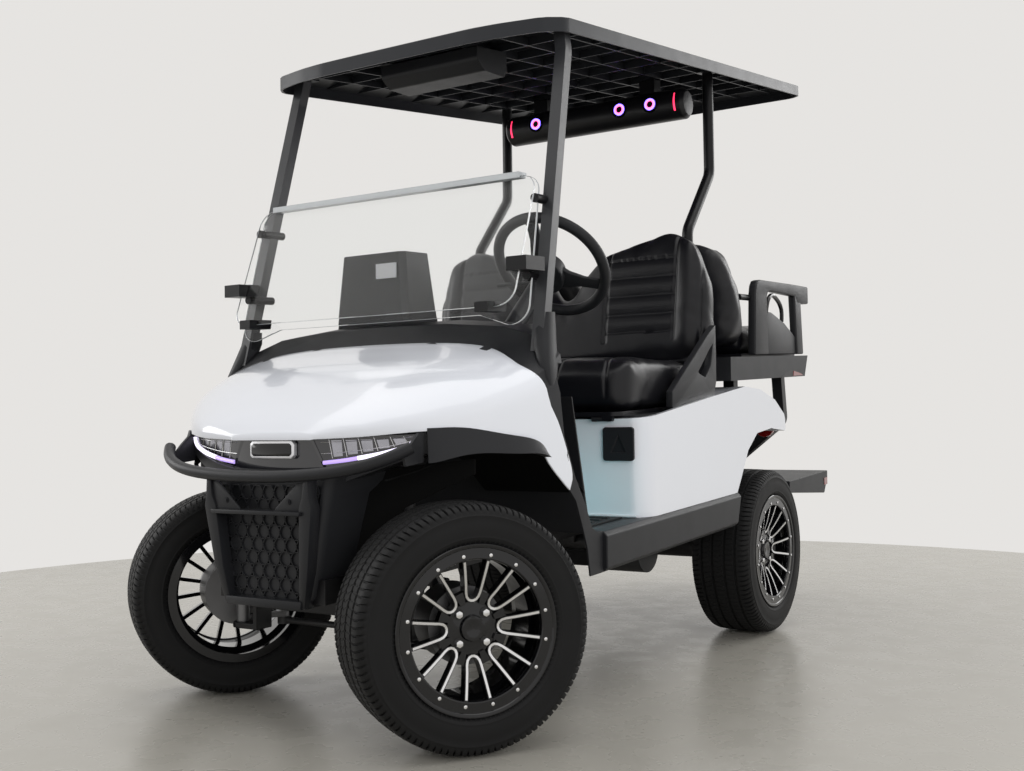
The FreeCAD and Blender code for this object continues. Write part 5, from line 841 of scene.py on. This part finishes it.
def press_in(bm, relief, faces):
    """Moves vertices whose normal looks along faces by the relief there."""
    bm.normal_update()
    for vert in bm.verts:
        share = smooth_step(vert.normal.dot(faces), 0.1, 0.75)
        if share:
            x, y, z = local(vert.co)
            vert.co += vert.normal * relief(x, y, z) * share * MM


def swell(bm, node):
    """Lets the sides of a backrest belly out between its top and its foot, and lifts its shoulders."""
    low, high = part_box(node)
    for vert in bm.verts:
        share = (vert.co.z - low.z) / (high.z - low.z)
        belly = math.sin(math.pi * min(1.0, max(0.0, share))) ** 0.7
        outer = smooth_step(abs(vert.co.x) / MM, *BELLY_REACH)
        vert.co.x += math.copysign(BACK_BELLY * MM, vert.co.x) * belly * outer
        vert.co.z += (1.5 * BACK_BELLY * MM * smooth_step(share, *SHOULDER_SHARES)
                      * smooth_step(abs(vert.co.x) / MM, *SHOULDER_REACH))


def seat_piece(node, body, relief, faces, is_back):
    """A padded vinyl piece in place of a CAD cushion, with its seams pressed in on one side."""
    bm = stuffed(node, BACK_ROUNDS if is_back else CUSHION_ROUNDS)
    if is_back:
        swell(bm, node)
    bmesh.ops.subdivide_edges(bm, edges=bm.edges, cuts=1, smooth=1.0, use_grid_fill=True)
    press_in(bm, relief, faces)
    seat = make_piece(node + "_vinyl", bm, body, vinyl, 80)
    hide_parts(node)


def front_cushion_relief(x, y, z):
    """Seams that run back over the front cushion on each side, with a low middle between the places."""
    reach = abs(x)
    rise = 0.0
    for seam, lean in ((300.0, 0.10), (470.0, 0.30)):
        line = seam - lean * (y - 640)
        rise += groove(reach - line, SEAM_WIDTH, 6.5) if y < 1150 else 0.0
    return rise + 5.0 * math.exp(-((reach - 260) / 130.0) ** 2) - 5.0 * math.exp(-(reach / 60.0) ** 2)


def rear_cushion_relief(x, y, z):
    reach = abs(x)
    return groove(reach - 20, 5.0, 4.0) + groove(reach - 420, 5.0, 4.0) + groove(y - 2120, 5.0, 3.0)


def rear_back_relief(x, y, z):
    return back_relief(x, y, z + REAR_BACK_DROP)


def make_seats():
    seat_piece("front_cushion", "front_seat_lid", front_cushion_relief, Vector((0, -0.5, 0.86)), False)
    seat_piece("front_backrest", "cart_body", back_relief, Vector((0, -1, 0)), True)
    seat_piece("rear_cushion", "rear_seat_lid", rear_cushion_relief, Vector((0, 0, 1)), False)
    seat_piece("rear_backrest", "cart_body", rear_back_relief, Vector((0, 1, 0)), True)


# Steering wheel: its arms' sections are (distance out, half width, underside, thickness)
WHEEL_CENTRE = (292, 656, 1200)
WHEEL_TILT = -48
GRIP_CIRCLE = 170
GRIP_RADIUS = 16.5
GRIP_SIDES = 20
ARM_SECTIONS = ((26, 40, -44, 26), (66, 27, -38, 20), (110, 18, -24, 15), (150, 18, -11, 12),
                (166, 24, -6, 11))
ARM_SHAPE = ((-1, 0), (1, 0), (1, 0.7), (0.7, 1), (-0.7, 1), (-1, 0.7))


def make_steering_wheel():
    turns = [2 * math.pi * k / GRIP_SIDES for k in range(GRIP_SIDES)]
    section = [(GRIP_CIRCLE + GRIP_RADIUS * math.cos(a), GRIP_RADIUS * math.sin(a)) for a in turns]
    parts = [tidy(ring_round(section, 96))]
    for angle in (30.0, 150.0, 270.0):
        arm = loft([[Vector((reach, side * half, low + up * thick)) * MM for side, up in ARM_SHAPE]
                    for reach, half, low, thick in ARM_SECTIONS])
        ease(arm, 1.5, 2)
        parts.append(moved(arm, turn_about("Z", angle)))
    hub = bmesh.new()
    bmesh.ops.create_cone(hub, cap_ends=True, segments=40, radius1=0.062, radius2=0.05, depth=0.056,
                          matrix=Matrix.Translation((0, 0, -0.034)))
    ease(hub, 5, 3)
    parts.append(hub)
    place = Matrix.Translation(spot(*WHEEL_CENTRE)) @ turn_about("X", WHEEL_TILT)
    piece = make_piece("steering_wheel_grip", moved(join(parts), place), "steering_wheel_body", charcoal,
                       40)
    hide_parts("steering_wheel")


# Lamps: the light guide's line is (across, height), as are the outlines
STRIP_TIP_X, STRIP_TIP_Y, STRIP_FRONT = 384.0, -128.0, -222.0
GUIDE = ((150, 680), (200, 684), (240, 690), (280, 696), (310, 702), (345, 711), (365, 720), (376, 732),
         (377, 740))
CELL_X = (170, 208, 246, 284, 322, 352)
CELL_TOP = 739.0
ROW_X = (142, 180, 220, 260, 300, 340, 366)
ROW_TOP = 742
BOWL_TOP = 734.0
CELL_WIRE = 0.8
LAMP_CENTRE = ((-158, 668), (158, 668), (150, 682), (118, 744), (-118, 744), (-150, 682))
BADGE_RIM = ((-66, 690), (66, 690), (74, 698), (74, 728), (66, 736), (-66, 736), (-74, 728), (-74, 698))
BADGE_FIELD = ((-60, 697), (60, 697), (67, 703), (67, 723), (60, 729), (-60, 729), (-67, 723), (-67, 703))


def strip_point(x, z, out=0.0):
    """A point on the front face of the bowed lamp strip."""
    rise = STRIP_TIP_Y - STRIP_FRONT
    circle = (STRIP_TIP_X ** 2 + rise ** 2) / (2 * rise)
    y = STRIP_FRONT + circle - math.sqrt(circle ** 2 - x ** 2)
    return spot(x, y - out, z)


def guide_height(x):
    """The height of the light guide, which is the lower edge of the lamp's cells."""
    return along_curve(GUIDE, x)[0]


def make_lamps():
    dress("lamp_strip", smoked_lens, 2.0, 2)

    def guide(side):
        return wire_run([strip_point(side * x, z, 1.5) for x, z in GUIDE[:4]], 5.0)

    def bright(side):
        return wire_run([strip_point(side * x, z, 1.8) for x, z in GUIDE[2:]], 5.4)

    def cells(side):
        parts = []
        for x in CELL_X:
            foot = strip_point(side * (x + 4), guide_height(x) + 9, 0.5)
            parts.append(rod_between(foot, strip_point(side * (x - 6), CELL_TOP, 0.5), CELL_WIRE, 8))
        for lift in (0.35, 0.8):
            points = [strip_point(side * x, guide_height(x) + (ROW_TOP - guide_height(x)) * lift, 0.6)
                      for x in ROW_X]
            parts.append(wire_run(points, CELL_WIRE))
        return join(parts)

    def bowls(side):
        parts = []
        for x in CELL_X[:-1]:
            low = guide_height(x + 18) + 11
            mouth = ((7, low), (31, low + 2), (28, BOWL_TOP), (0, BOWL_TOP))
            ring = [strip_point(side * (x + dx), z, 0.3) for dx, z in mouth]
            deep = [strip_point(side * (x + 17 + dx), (low + BOWL_TOP) / 2 + dz, 0.9)
                    for dx, dz in ((-3, -3), (3, -3), (3, 3), (-3, 3))]
            parts.append(loft([ring, deep]))
        return tidy(join(parts))
    make_piece("lamp_light_bars", both_sides(guide), "cart_body", lamp_violet)
    make_piece("lamp_light_tips", both_sides(bright), "cart_body", lamp_white)
    make_piece("lamp_cell_walls", both_sides(cells), "cart_body", chrome)
    make_piece("lamp_reflectors", both_sides(bowls), "cart_body", lamp_bowl)
    centre = loft([[strip_point(x, z, out) for x, z in LAMP_CENTRE] for out in (1.6, -4.0)])
    make_piece("lamp_centre_panel", tidy(centre), "cart_body", smoked_lens)
    rim = panel(BADGE_RIM, -233, -219)
    ease(rim, 3.0, 3)
    badge = make_piece("badge_surround", rim, "cart_body", badge_silver)
    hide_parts("badge_plate")
    face = panel(BADGE_FIELD, -234.6, -230)
    ease(face, 1.2, 2)
    make_piece("badge_field", face, "cart_body", gloss_black)


# Brush guard and grille: the leg's stations are (across, half width, behind the axle, height)
GUARD_PATH = ((406, -196, 716), (384, -222, 700), (330, -254, 680), (250, -280, 664), (120, -293, 654),
              (0, -296, 652))
GUARD_RADIUS = 15.0
LEG_STATIONS = ((162, 7, -289, 650), (160, 10, -290, 604), (158, 19, -288, 578), (141, 14, -276, 430),
                (123, 9, -262, 334))
LEG_DEEP = 34
GUSSET = ((151, 566), (56, 568), (62, 576), (132, 638), (152, 640))
CROSS_BARS = ((((-146, 560), (146, 560), (148, 570), (-148, 570)), -296, -262),
              (((-124, 332), (124, 332), (126, 352), (-126, 352)), -268, -238))
BOLT_X, BOLT_Z = 104, 592
BOLT_STEPS = ((-284, -287, 7.0), (-287, -289, 4.4))
GRILLE_TOP = (640.0, 192.0)
GRILLE_FOOT = (336.0, 132.0)
GRILLE_BACK = (-234, -238)
GRILLE_FACE = -246.0
HEX_PITCH = 37.0
HEX_ROWS = 9
HEX_REACH = 7
HEX_LOW, HEX_HIGH = 352.0, 632
HEX_WALL = 7.0
RIDGE, RIDGE_SLOPE, RIDGE_DROP = 2.6, 1.0, -5.0
SIDE_LEVELS = (652, 640, 600, 520, 430, 360, 342, 334)
LINER = ((206, 648), (330, 664), (470, 676), (470, 640), (300, 560), (262, 480), (236, 360), (160, 344))
LINER_SWEEP = 0.35
LAMP_END = ((-118, 748), (-146, 746), (-176, 722), (-204, 694), (-196, 672), (-128, 676))


def grille_half(z):
    """Half the grille's width at a height."""
    share = (z - GRILLE_FOOT[0]) / (GRILLE_TOP[0] - GRILLE_FOOT[0])
    return GRILLE_FOOT[1] + (GRILLE_TOP[1] - GRILLE_FOOT[1]) * share


def make_guard():
    points = [spot(*place) for place in GUARD_PATH]
    points += [spot(-x, y, z) for x, y, z in reversed(GUARD_PATH[:-1])]
    parts = [wire_run(points, GUARD_RADIUS, sides=6)]
    for side in (1, -1):
        leg = loft([[spot(side * (x + dx * half), y + dy, z)
                     for dx, dy in ((-1, 0), (1, 0), (1, LEG_DEEP), (-1, LEG_DEEP))]
                    for x, half, y, z in LEG_STATIONS])
        ease(leg, 2.5, 2)
        parts.append(leg)
    plates = [panel([(side * x, z) for x, z in GUSSET], -284, -278) for side in (1, -1)]
    plates += [panel(*bar) for bar in CROSS_BARS]
    for bar in plates:
        ease(bar, 1.6, 2)
    parts += plates
    for x in (-BOLT_X, BOLT_X):
        for y0, y1, radius in BOLT_STEPS:
            parts.append(rod_between(spot(x, y0, BOLT_Z), spot(x, y1, BOLT_Z), radius, 16))
    piece = make_piece("brush_guard_tube", tidy(join(parts)), "cart_body", guard_coat)
    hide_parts("brush_guard")


def honeycomb():
    """Six-sided cells with a ridge between them, walled round, on the grille's face."""
    bm = bmesh.new()
    rise = HEX_PITCH * math.sqrt(3) / 2
    for row in range(HEX_ROWS):
        z = HEX_LOW + rise * row
        shift = HEX_PITCH / 2 if row % 2 else 0.0
        for column in range(-HEX_REACH, HEX_REACH + 1):
            x = column * HEX_PITCH + shift
            if abs(x) + HEX_PITCH * 0.5 <= grille_half(z) - 2 and z <= HEX_HIGH:
                place = Matrix.Translation((x, z, 0)) @ turn_about("Z", 30)
                bmesh.ops.create_circle(bm, cap_ends=True, segments=6, radius=HEX_PITCH / math.sqrt(3),
                                        matrix=place)
    bmesh.ops.remove_doubles(bm, verts=bm.verts, dist=0.2)
    cells = bm.faces[:]
    border = [edge for edge in bm.edges if len(edge.link_faces) == 1]
    skirt = bmesh.ops.extrude_edge_only(bm, edges=border)
    for vert in skirt["geom"]:
        if isinstance(vert, bmesh.types.BMVert):
            vert.co.z -= HEX_WALL
    bmesh.ops.inset_individual(bm, faces=cells, thickness=RIDGE, depth=0.0)
    bmesh.ops.inset_individual(bm, faces=cells, thickness=RIDGE_SLOPE, depth=RIDGE_DROP)
    for vert in bm.verts:
        x, z, deep = vert.co
        vert.co = spot(x, GRILLE_FACE - deep, z)
    bmesh.ops.recalc_face_normals(bm, faces=bm.faces)
    return bm


def make_grille():
    foot, top = GRILLE_FOOT[0], GRILLE_TOP[0]
    corners = ((-1, foot), (1, foot), (1, top), (-1, top))
    base = loft([[spot(side * grille_half(z), y, z) for side, z in corners] for y in GRILLE_BACK])
    make_piece("grille_backing", tidy(base), "cart_body", charcoal)
    make_piece("grille_honeycomb", honeycomb(), "cart_body", charcoal, 30)

    def side_panel(side):
        rings = []
        for z in SIDE_LEVELS:
            half = grille_half(z)
            flare = 46.0 * smooth_step(z, 590, 652)
            drop = 16.0 * smooth_step(-z, -362, -334)
            back = -118.0 + flare
            line = ((half - 16, -238), (half - 12, -247), (half - 2, -247), (half + 7 - drop, -241),
                    (half + 15 - drop, -226), (half + 30 + flare - drop, back),
                    (half + 20 + flare - drop, back), (half + 2 - drop, -226))
            rings.append([spot(side * x, y, z) for x, y in line])
        return tidy(loft(rings))
    make_piece("grille_side_panels", both_sides(side_panel), "cart_body", charcoal, 50)

    def liner(side):
        return tidy(loft([[spot(side * x, y + (x - LINER[0][0]) * LINER_SWEEP, z) for x, z in LINER]
                          for y in (-122, -117)]))
    make_piece("grille_liners", both_sides(liner), "cart_body", inner_black)

    def lamp_end(side):
        return plate(LAMP_END, side * 384, side * 391)
    make_piece("lamp_end_plates", both_sides(lamp_end), "cart_body", charcoal)


# Overhead speakers: each ring's name, inner and outer radius, how far it stands out, and its finish
BAR_Y, BAR_Z, BAR_RADIUS = 1505.0, 1831.0, 56.0
SPEAKER_X = (-232, -126, 126, 250)
SPEAKER_RINGS = (("speaker_frames", 22, 30, 5, gloss_black), ("speaker_rings_blue", 15, 21, 5.4, led_blue),
                 ("speaker_rings_pink", 12, 15, 5.8, led_pink), ("speaker_cones", 0.5, 12, 4, powder_coat))
END_LIGHT_X = 344
END_LIGHT_ARC = 55
END_LIGHT_TURNS = (-34, -20, -8, 6, 20, 34)


def make_speakers():
    dress("speaker_bar", powder_coat, 3.0, 2)
    for name, inner, outer, depth, coat in SPEAKER_RINGS:
        discs = []
        for x in SPEAKER_X:
            ring = ring_round(((inner, 0), (inner, depth), (outer, depth), (outer, 0)), 40)
            place = Matrix.Translation(spot(x, BAR_Y - BAR_RADIUS + 4, BAR_Z + 4)) @ turn_about("X", 90)
            discs.append(tidy(moved(ring, place)))
        make_piece(name, join(discs), "cart_body", coat)

    def end_light(side):
        turns = [math.radians(a) for a in END_LIGHT_TURNS]
        return wire_run([spot(side * END_LIGHT_X, BAR_Y - END_LIGHT_ARC * math.cos(a),
                              BAR_Z + END_LIGHT_ARC * math.sin(a)) for a in turns], 3.4)
    make_piece("speaker_end_lights", both_sides(end_light), "cart_body", led_red)


# Rear seat unit and arm rests: loops are pairs of (outer, inner) places (behind the axle, height)
ARM_LOOP = (((1640, 914), (1781, 914)), ((1655, 1134), (1774, 1126)), ((1664, 1166), (1786, 1144)),
            ((1682, 1184), (1808, 1150)), ((1708, 1188), (1838, 1150)), ((2040, 1187), (2040, 1143)),
            ((2093, 1186.6), (2093, 1141)), ((2118, 1186.4), (2118, 1113)), ((2248, 1184), (2248, 1115)))
ARM_POST = ((2084, 1150), (2156, 1150), (2180, 914), (2106, 914))
ARM_WEB = ((1776, 914), (1786, 1076), (1844, 1072), (1982, 1035), (2124, 975), (2130, 914))
HIP_LOOP = (((1236, 1014), (1212, 952)), ((1169, 979), (1175, 928)), ((1110, 942), (1141, 901)),
            ((1029, 893), (1112, 879)), ((889, 806), (1092, 864)), ((888, 758), (1092, 860)),
            ((910, 748), (1100, 856)), ((1210, 769), (1146, 843)), ((1236, 828), (1190, 880)),
            ((1238, 920), (1203, 918)))
GRAB_LOOP = ((1795, 1070), (1812, 1120), (1857, 1142), (1915, 1124), (1956, 1100), (1970, 1072), (1964, 1040))
TRAY_RECESS = ((1905, 826), (1936, 838), (1967, 845), (2030, 852), (2108, 842), (2160, 829), (2180, 826))
TRAY_LIGHT = ((2040, 830), (2150, 830), (2150, 833), (2108, 841), (2045, 849))


def make_rear_details():
    def arm(side):
        parts = [frame_loop(ARM_LOOP, side * 529, side * 559, closed=False),
                 plate(ARM_POST, side * 530, side * 558), plate(ARM_WEB, side * 538, side * 551)]
        for part in parts:
            ease(part, 6.0, 3)
        return join(parts)
    arms = make_piece("rear_arm_frames", both_sides(arm), "cart_body", charcoal)
    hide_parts("rear_arms")

    def hip(side):
        bm = frame_loop(HIP_LOOP, side * 552, side * 574)
        ease(bm, 5.0, 3)
        return bm
    hips = make_piece("hip_frames", both_sides(hip), "cart_body", charcoal)
    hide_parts("hip_restraints")

    def grab(side):
        return wire_run([spot(side * 545, *point) for point in GRAB_LOOP], 8.0)
    make_piece("arm_grab_loops", both_sides(grab), "cart_body", gloss_black)

    def recess(side):
        return plate(TRAY_RECESS, side * 560.5, side * 556)
    make_piece("tray_recesses", both_sides(recess), "cart_body", powder_coat)

    def tray_light(side):
        return loft([[spot(side * x, *point) for point in TRAY_LIGHT] for x in (562, 557)])
    make_piece("tray_reflectors", tidy(both_sides(tray_light)), "cart_body", red_lens)

    def step_light(side):
        return box_between((side * 497, 2590, 352), (side * 502, 2630, 382))
    make_piece("step_reflectors", tidy(both_sides(step_light)), "cart_body", red_lens)


# Front springs
SPRING_FOOT_X = 236
SPRING_HEAD = (225, 0, 652)
COILS, COIL_STEPS = 7, 12
COIL_START, COIL_SPAN = 0.22, 0.74
COIL_RADIUS = 0.041


def make_springs():
    foot = Vector((SPRING_FOOT_X, FRONT_AXLE_Y, AXLE_Z)) * MM
    head = spot(*SPRING_HEAD)

    def coil(side):
        start = Vector((side * foot.x, foot.y, foot.z))
        along = Vector((side * head.x, head.y, head.z)) - start
        turn = along.to_track_quat("Z", "Y").to_matrix()
        points = []
        for k in range(COILS * COIL_STEPS + 1):
            a = 2 * math.pi * k / COIL_STEPS
            share = COIL_START + COIL_SPAN * k / (COILS * COIL_STEPS)
            points.append(start + along * share
                          + turn @ Vector((COIL_RADIUS * math.cos(a), COIL_RADIUS * math.sin(a), 0)))
        return wire_run(points, 5.2, sides=2)
    make_piece("front_springs", both_sides(coil), "cart_body", coil_paint)


# Windscreen, its fittings and the strut boots, whose levels are (height, inner x, outer x, front y, rear y)
PANE_EDGE = -0.0006
FOLD_Z, FOLD_REACH = 1386, 485
CARD = ((-112, 325.5, 1172), (-38, 329.6, 1216))
# Where a pale strip paints the thin line of light that glows along the apron foot: half its length, behind
# the axle, height
FOOT_PAINTED_LIGHT_X, FOOT_PAINTED_LIGHT_Y, FOOT_PAINTED_LIGHT_Z = 556, 668, 455
BOOT_LEVELS = ((1034, 499, 540, 208, 258), (1000, 498, 544, 196, 256), (950, 507, 555, 176, 240),
               (905, 528, 566, 160, 226), (868, 546, 572, 158, 206), (846, 554, 572, 164, 190))
BOOT_SIDES = 16
BOOT_POWER = 0.6


def split_off(node, wanted):
    """The faces of a CAD piece for which wanted(middle, normal) holds, as a bmesh of their own."""
    bm = welded(node)
    bm.normal_update()
    drop = [face for face in bm.faces if not wanted(local(face.calc_center_median()), face.normal)]
    bmesh.ops.delete(bm, geom=drop, context="FACES")
    return bm


def make_screen():
    def is_rim(place, normal):
        return abs(normal.y) < 0.5 and abs(normal.z) < 0.97 or abs(normal.x) > 0.5 or abs(normal.z) > 0.85

    def in_fold(place, normal):
        return place[2] > FOLD_Z and abs(place[0]) < FOLD_REACH

    for node in ("lower_pane", "upper_pane"):
        dress(node, clear_pane, 0.8, 1, 30)
        # The pane edges are split off and worn in the pale rim finish, a painted glint of light caught in the
        # edges
        edges = split_off(node, is_rim)
        bmesh.ops.solidify(edges, geom=edges.faces[:], thickness=PANE_EDGE)
        make_piece(node + "_edges", edges, "cart_body", pane_rim_painted_glint)
    clips = split_off("screen_fittings", lambda place, normal: not in_fold(place, normal))
    clip_piece = make_piece("screen_clips", clips, "cart_body", powder_coat)
    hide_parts("screen_fittings")
    make_piece("screen_fold_strip", split_off("screen_fittings", in_fold), "cart_body", pane_rim_painted_glint)
    make_piece("dash_blank_card", box_between(*CARD), "cart_body", white_card_and_painted_light)
    # A pale strip painted along the apron foot where a thin line of light glows: a painted highlight
    foot_line = [spot(x, FOOT_PAINTED_LIGHT_Y, FOOT_PAINTED_LIGHT_Z) for x in (-FOOT_PAINTED_LIGHT_X, 0, FOOT_PAINTED_LIGHT_X)]
    foot_painted_light = wire_run(foot_line, 4.0, smooth=False)
    make_piece("apron_foot_painted_light", foot_painted_light, "cart_body", white_card_and_painted_light)

    def squared(value):
        return math.copysign(abs(value) ** BOOT_POWER, value)

    def boot(side):
        rings = []
        for z, x0, x1, y0, y1 in BOOT_LEVELS:
            ring = []
            for k in range(BOOT_SIDES):
                turn = 2 * math.pi * k / BOOT_SIDES
                ring.append(spot(side * ((x0 + x1) / 2 + (x1 - x0) / 2 * squared(math.cos(turn))),
                                 (y0 + y1) / 2 + (y1 - y0) / 2 * squared(math.sin(turn)), z))
            rings.append(ring)
        return tidy(loft(rings))
    make_piece("strut_boots", both_sides(boot), "cart_body", charcoal, 60)


# CAD pieces that keep their own form: each node, and the width of its eased edges in millimetres
MOULDED = (("sills", 4.0), ("front_flares", 4.0), ("rear_step", 6.0), ("rear_tray", 6.0), ("dash_pod", 26.0),
           ("overhead_console", 6.0), ("charge_port", 2.0), ("fascia", 1.2), ("steering_column", 3.0),
           ("pedals", 3.0), ("seat_deck", 1.5))
COATED = (("rear_struts", 0.0), ("rear_seat_frame", 4.0), ("chassis", 3.0), ("front_tower", 2.0),
          ("front_axle_beam", 3.0), ("backrest_brackets", 2.0))
SPRUNG = ("rear_axle", "rear_leaf_springs", "rear_shocks", "front_coil_units", "tie_rod")
DASH_REACH = 430.0
DASH_SQUEEZE = 0.3
COWL_CORNER_Y, COWL_CORNER_Z = 232.0, 840
COWL_SQUEEZE = 0.72
COWL_SHORTEN = 0.15


def dress_nodes():
    for node, width in MOULDED:
        dress(node, charcoal, width, 3)
    dress("front_liners", inner_black, 1.0, 1)
    dress("floor_pan", charcoal, 1.0, 1)
    for node in ("front_cushion_board", "rear_cushion_board"):
        dress(node, vinyl, 3.0, 2)
    for node, width in COATED:
        dress(node, powder_coat, width, 2)
    cowl = dress("cowl", charcoal, 1.2, 2)
    for vert in cowl.data.vertices:
        x, y, z = local(vert.co)
        if y > COWL_CORNER_Y and z > COWL_CORNER_Z and abs(x) > DASH_REACH:
            vert.co = spot(math.copysign(DASH_REACH + (abs(x) - DASH_REACH) * COWL_SQUEEZE, x),
                           COWL_CORNER_Y + (y - COWL_CORNER_Y) * COWL_SHORTEN, z)
    dash = dress("dashboard", charcoal, 6.0, 3)
    for vert in dash.data.vertices:
        reach = abs(vert.co.x) / MM
        if reach > DASH_REACH:
            vert.co.x = math.copysign((DASH_REACH + (reach - DASH_REACH) * DASH_SQUEEZE) * MM, vert.co.x)
    dress("roof", roof_skin, 3.0, 2)
    dress("front_struts", strut_coat, 5.0, 3)
    dress("rear_body", white_paint, 9.0, 4)
    dress("floor_mat", mat_rubber, 1.2, 1)
    for node in SPRUNG:
        dress(node, dark_steel, 1.5, 1)
    for node in ("front_left_knuckle", "front_right_knuckle"):
        dress(node, steel, 2.0, 2)
    dress("tail_lamps", red_lens, 3.0, 2)
    dress("battery_pack", charcoal, 6.0, 2)


set_camera()
set_studio()
make_wheels()
make_hood()
make_seats()
make_steering_wheel()
make_lamps()
make_guard()
make_grille()
make_speakers()
make_rear_details()
make_springs()
make_screen()
dress_nodes()
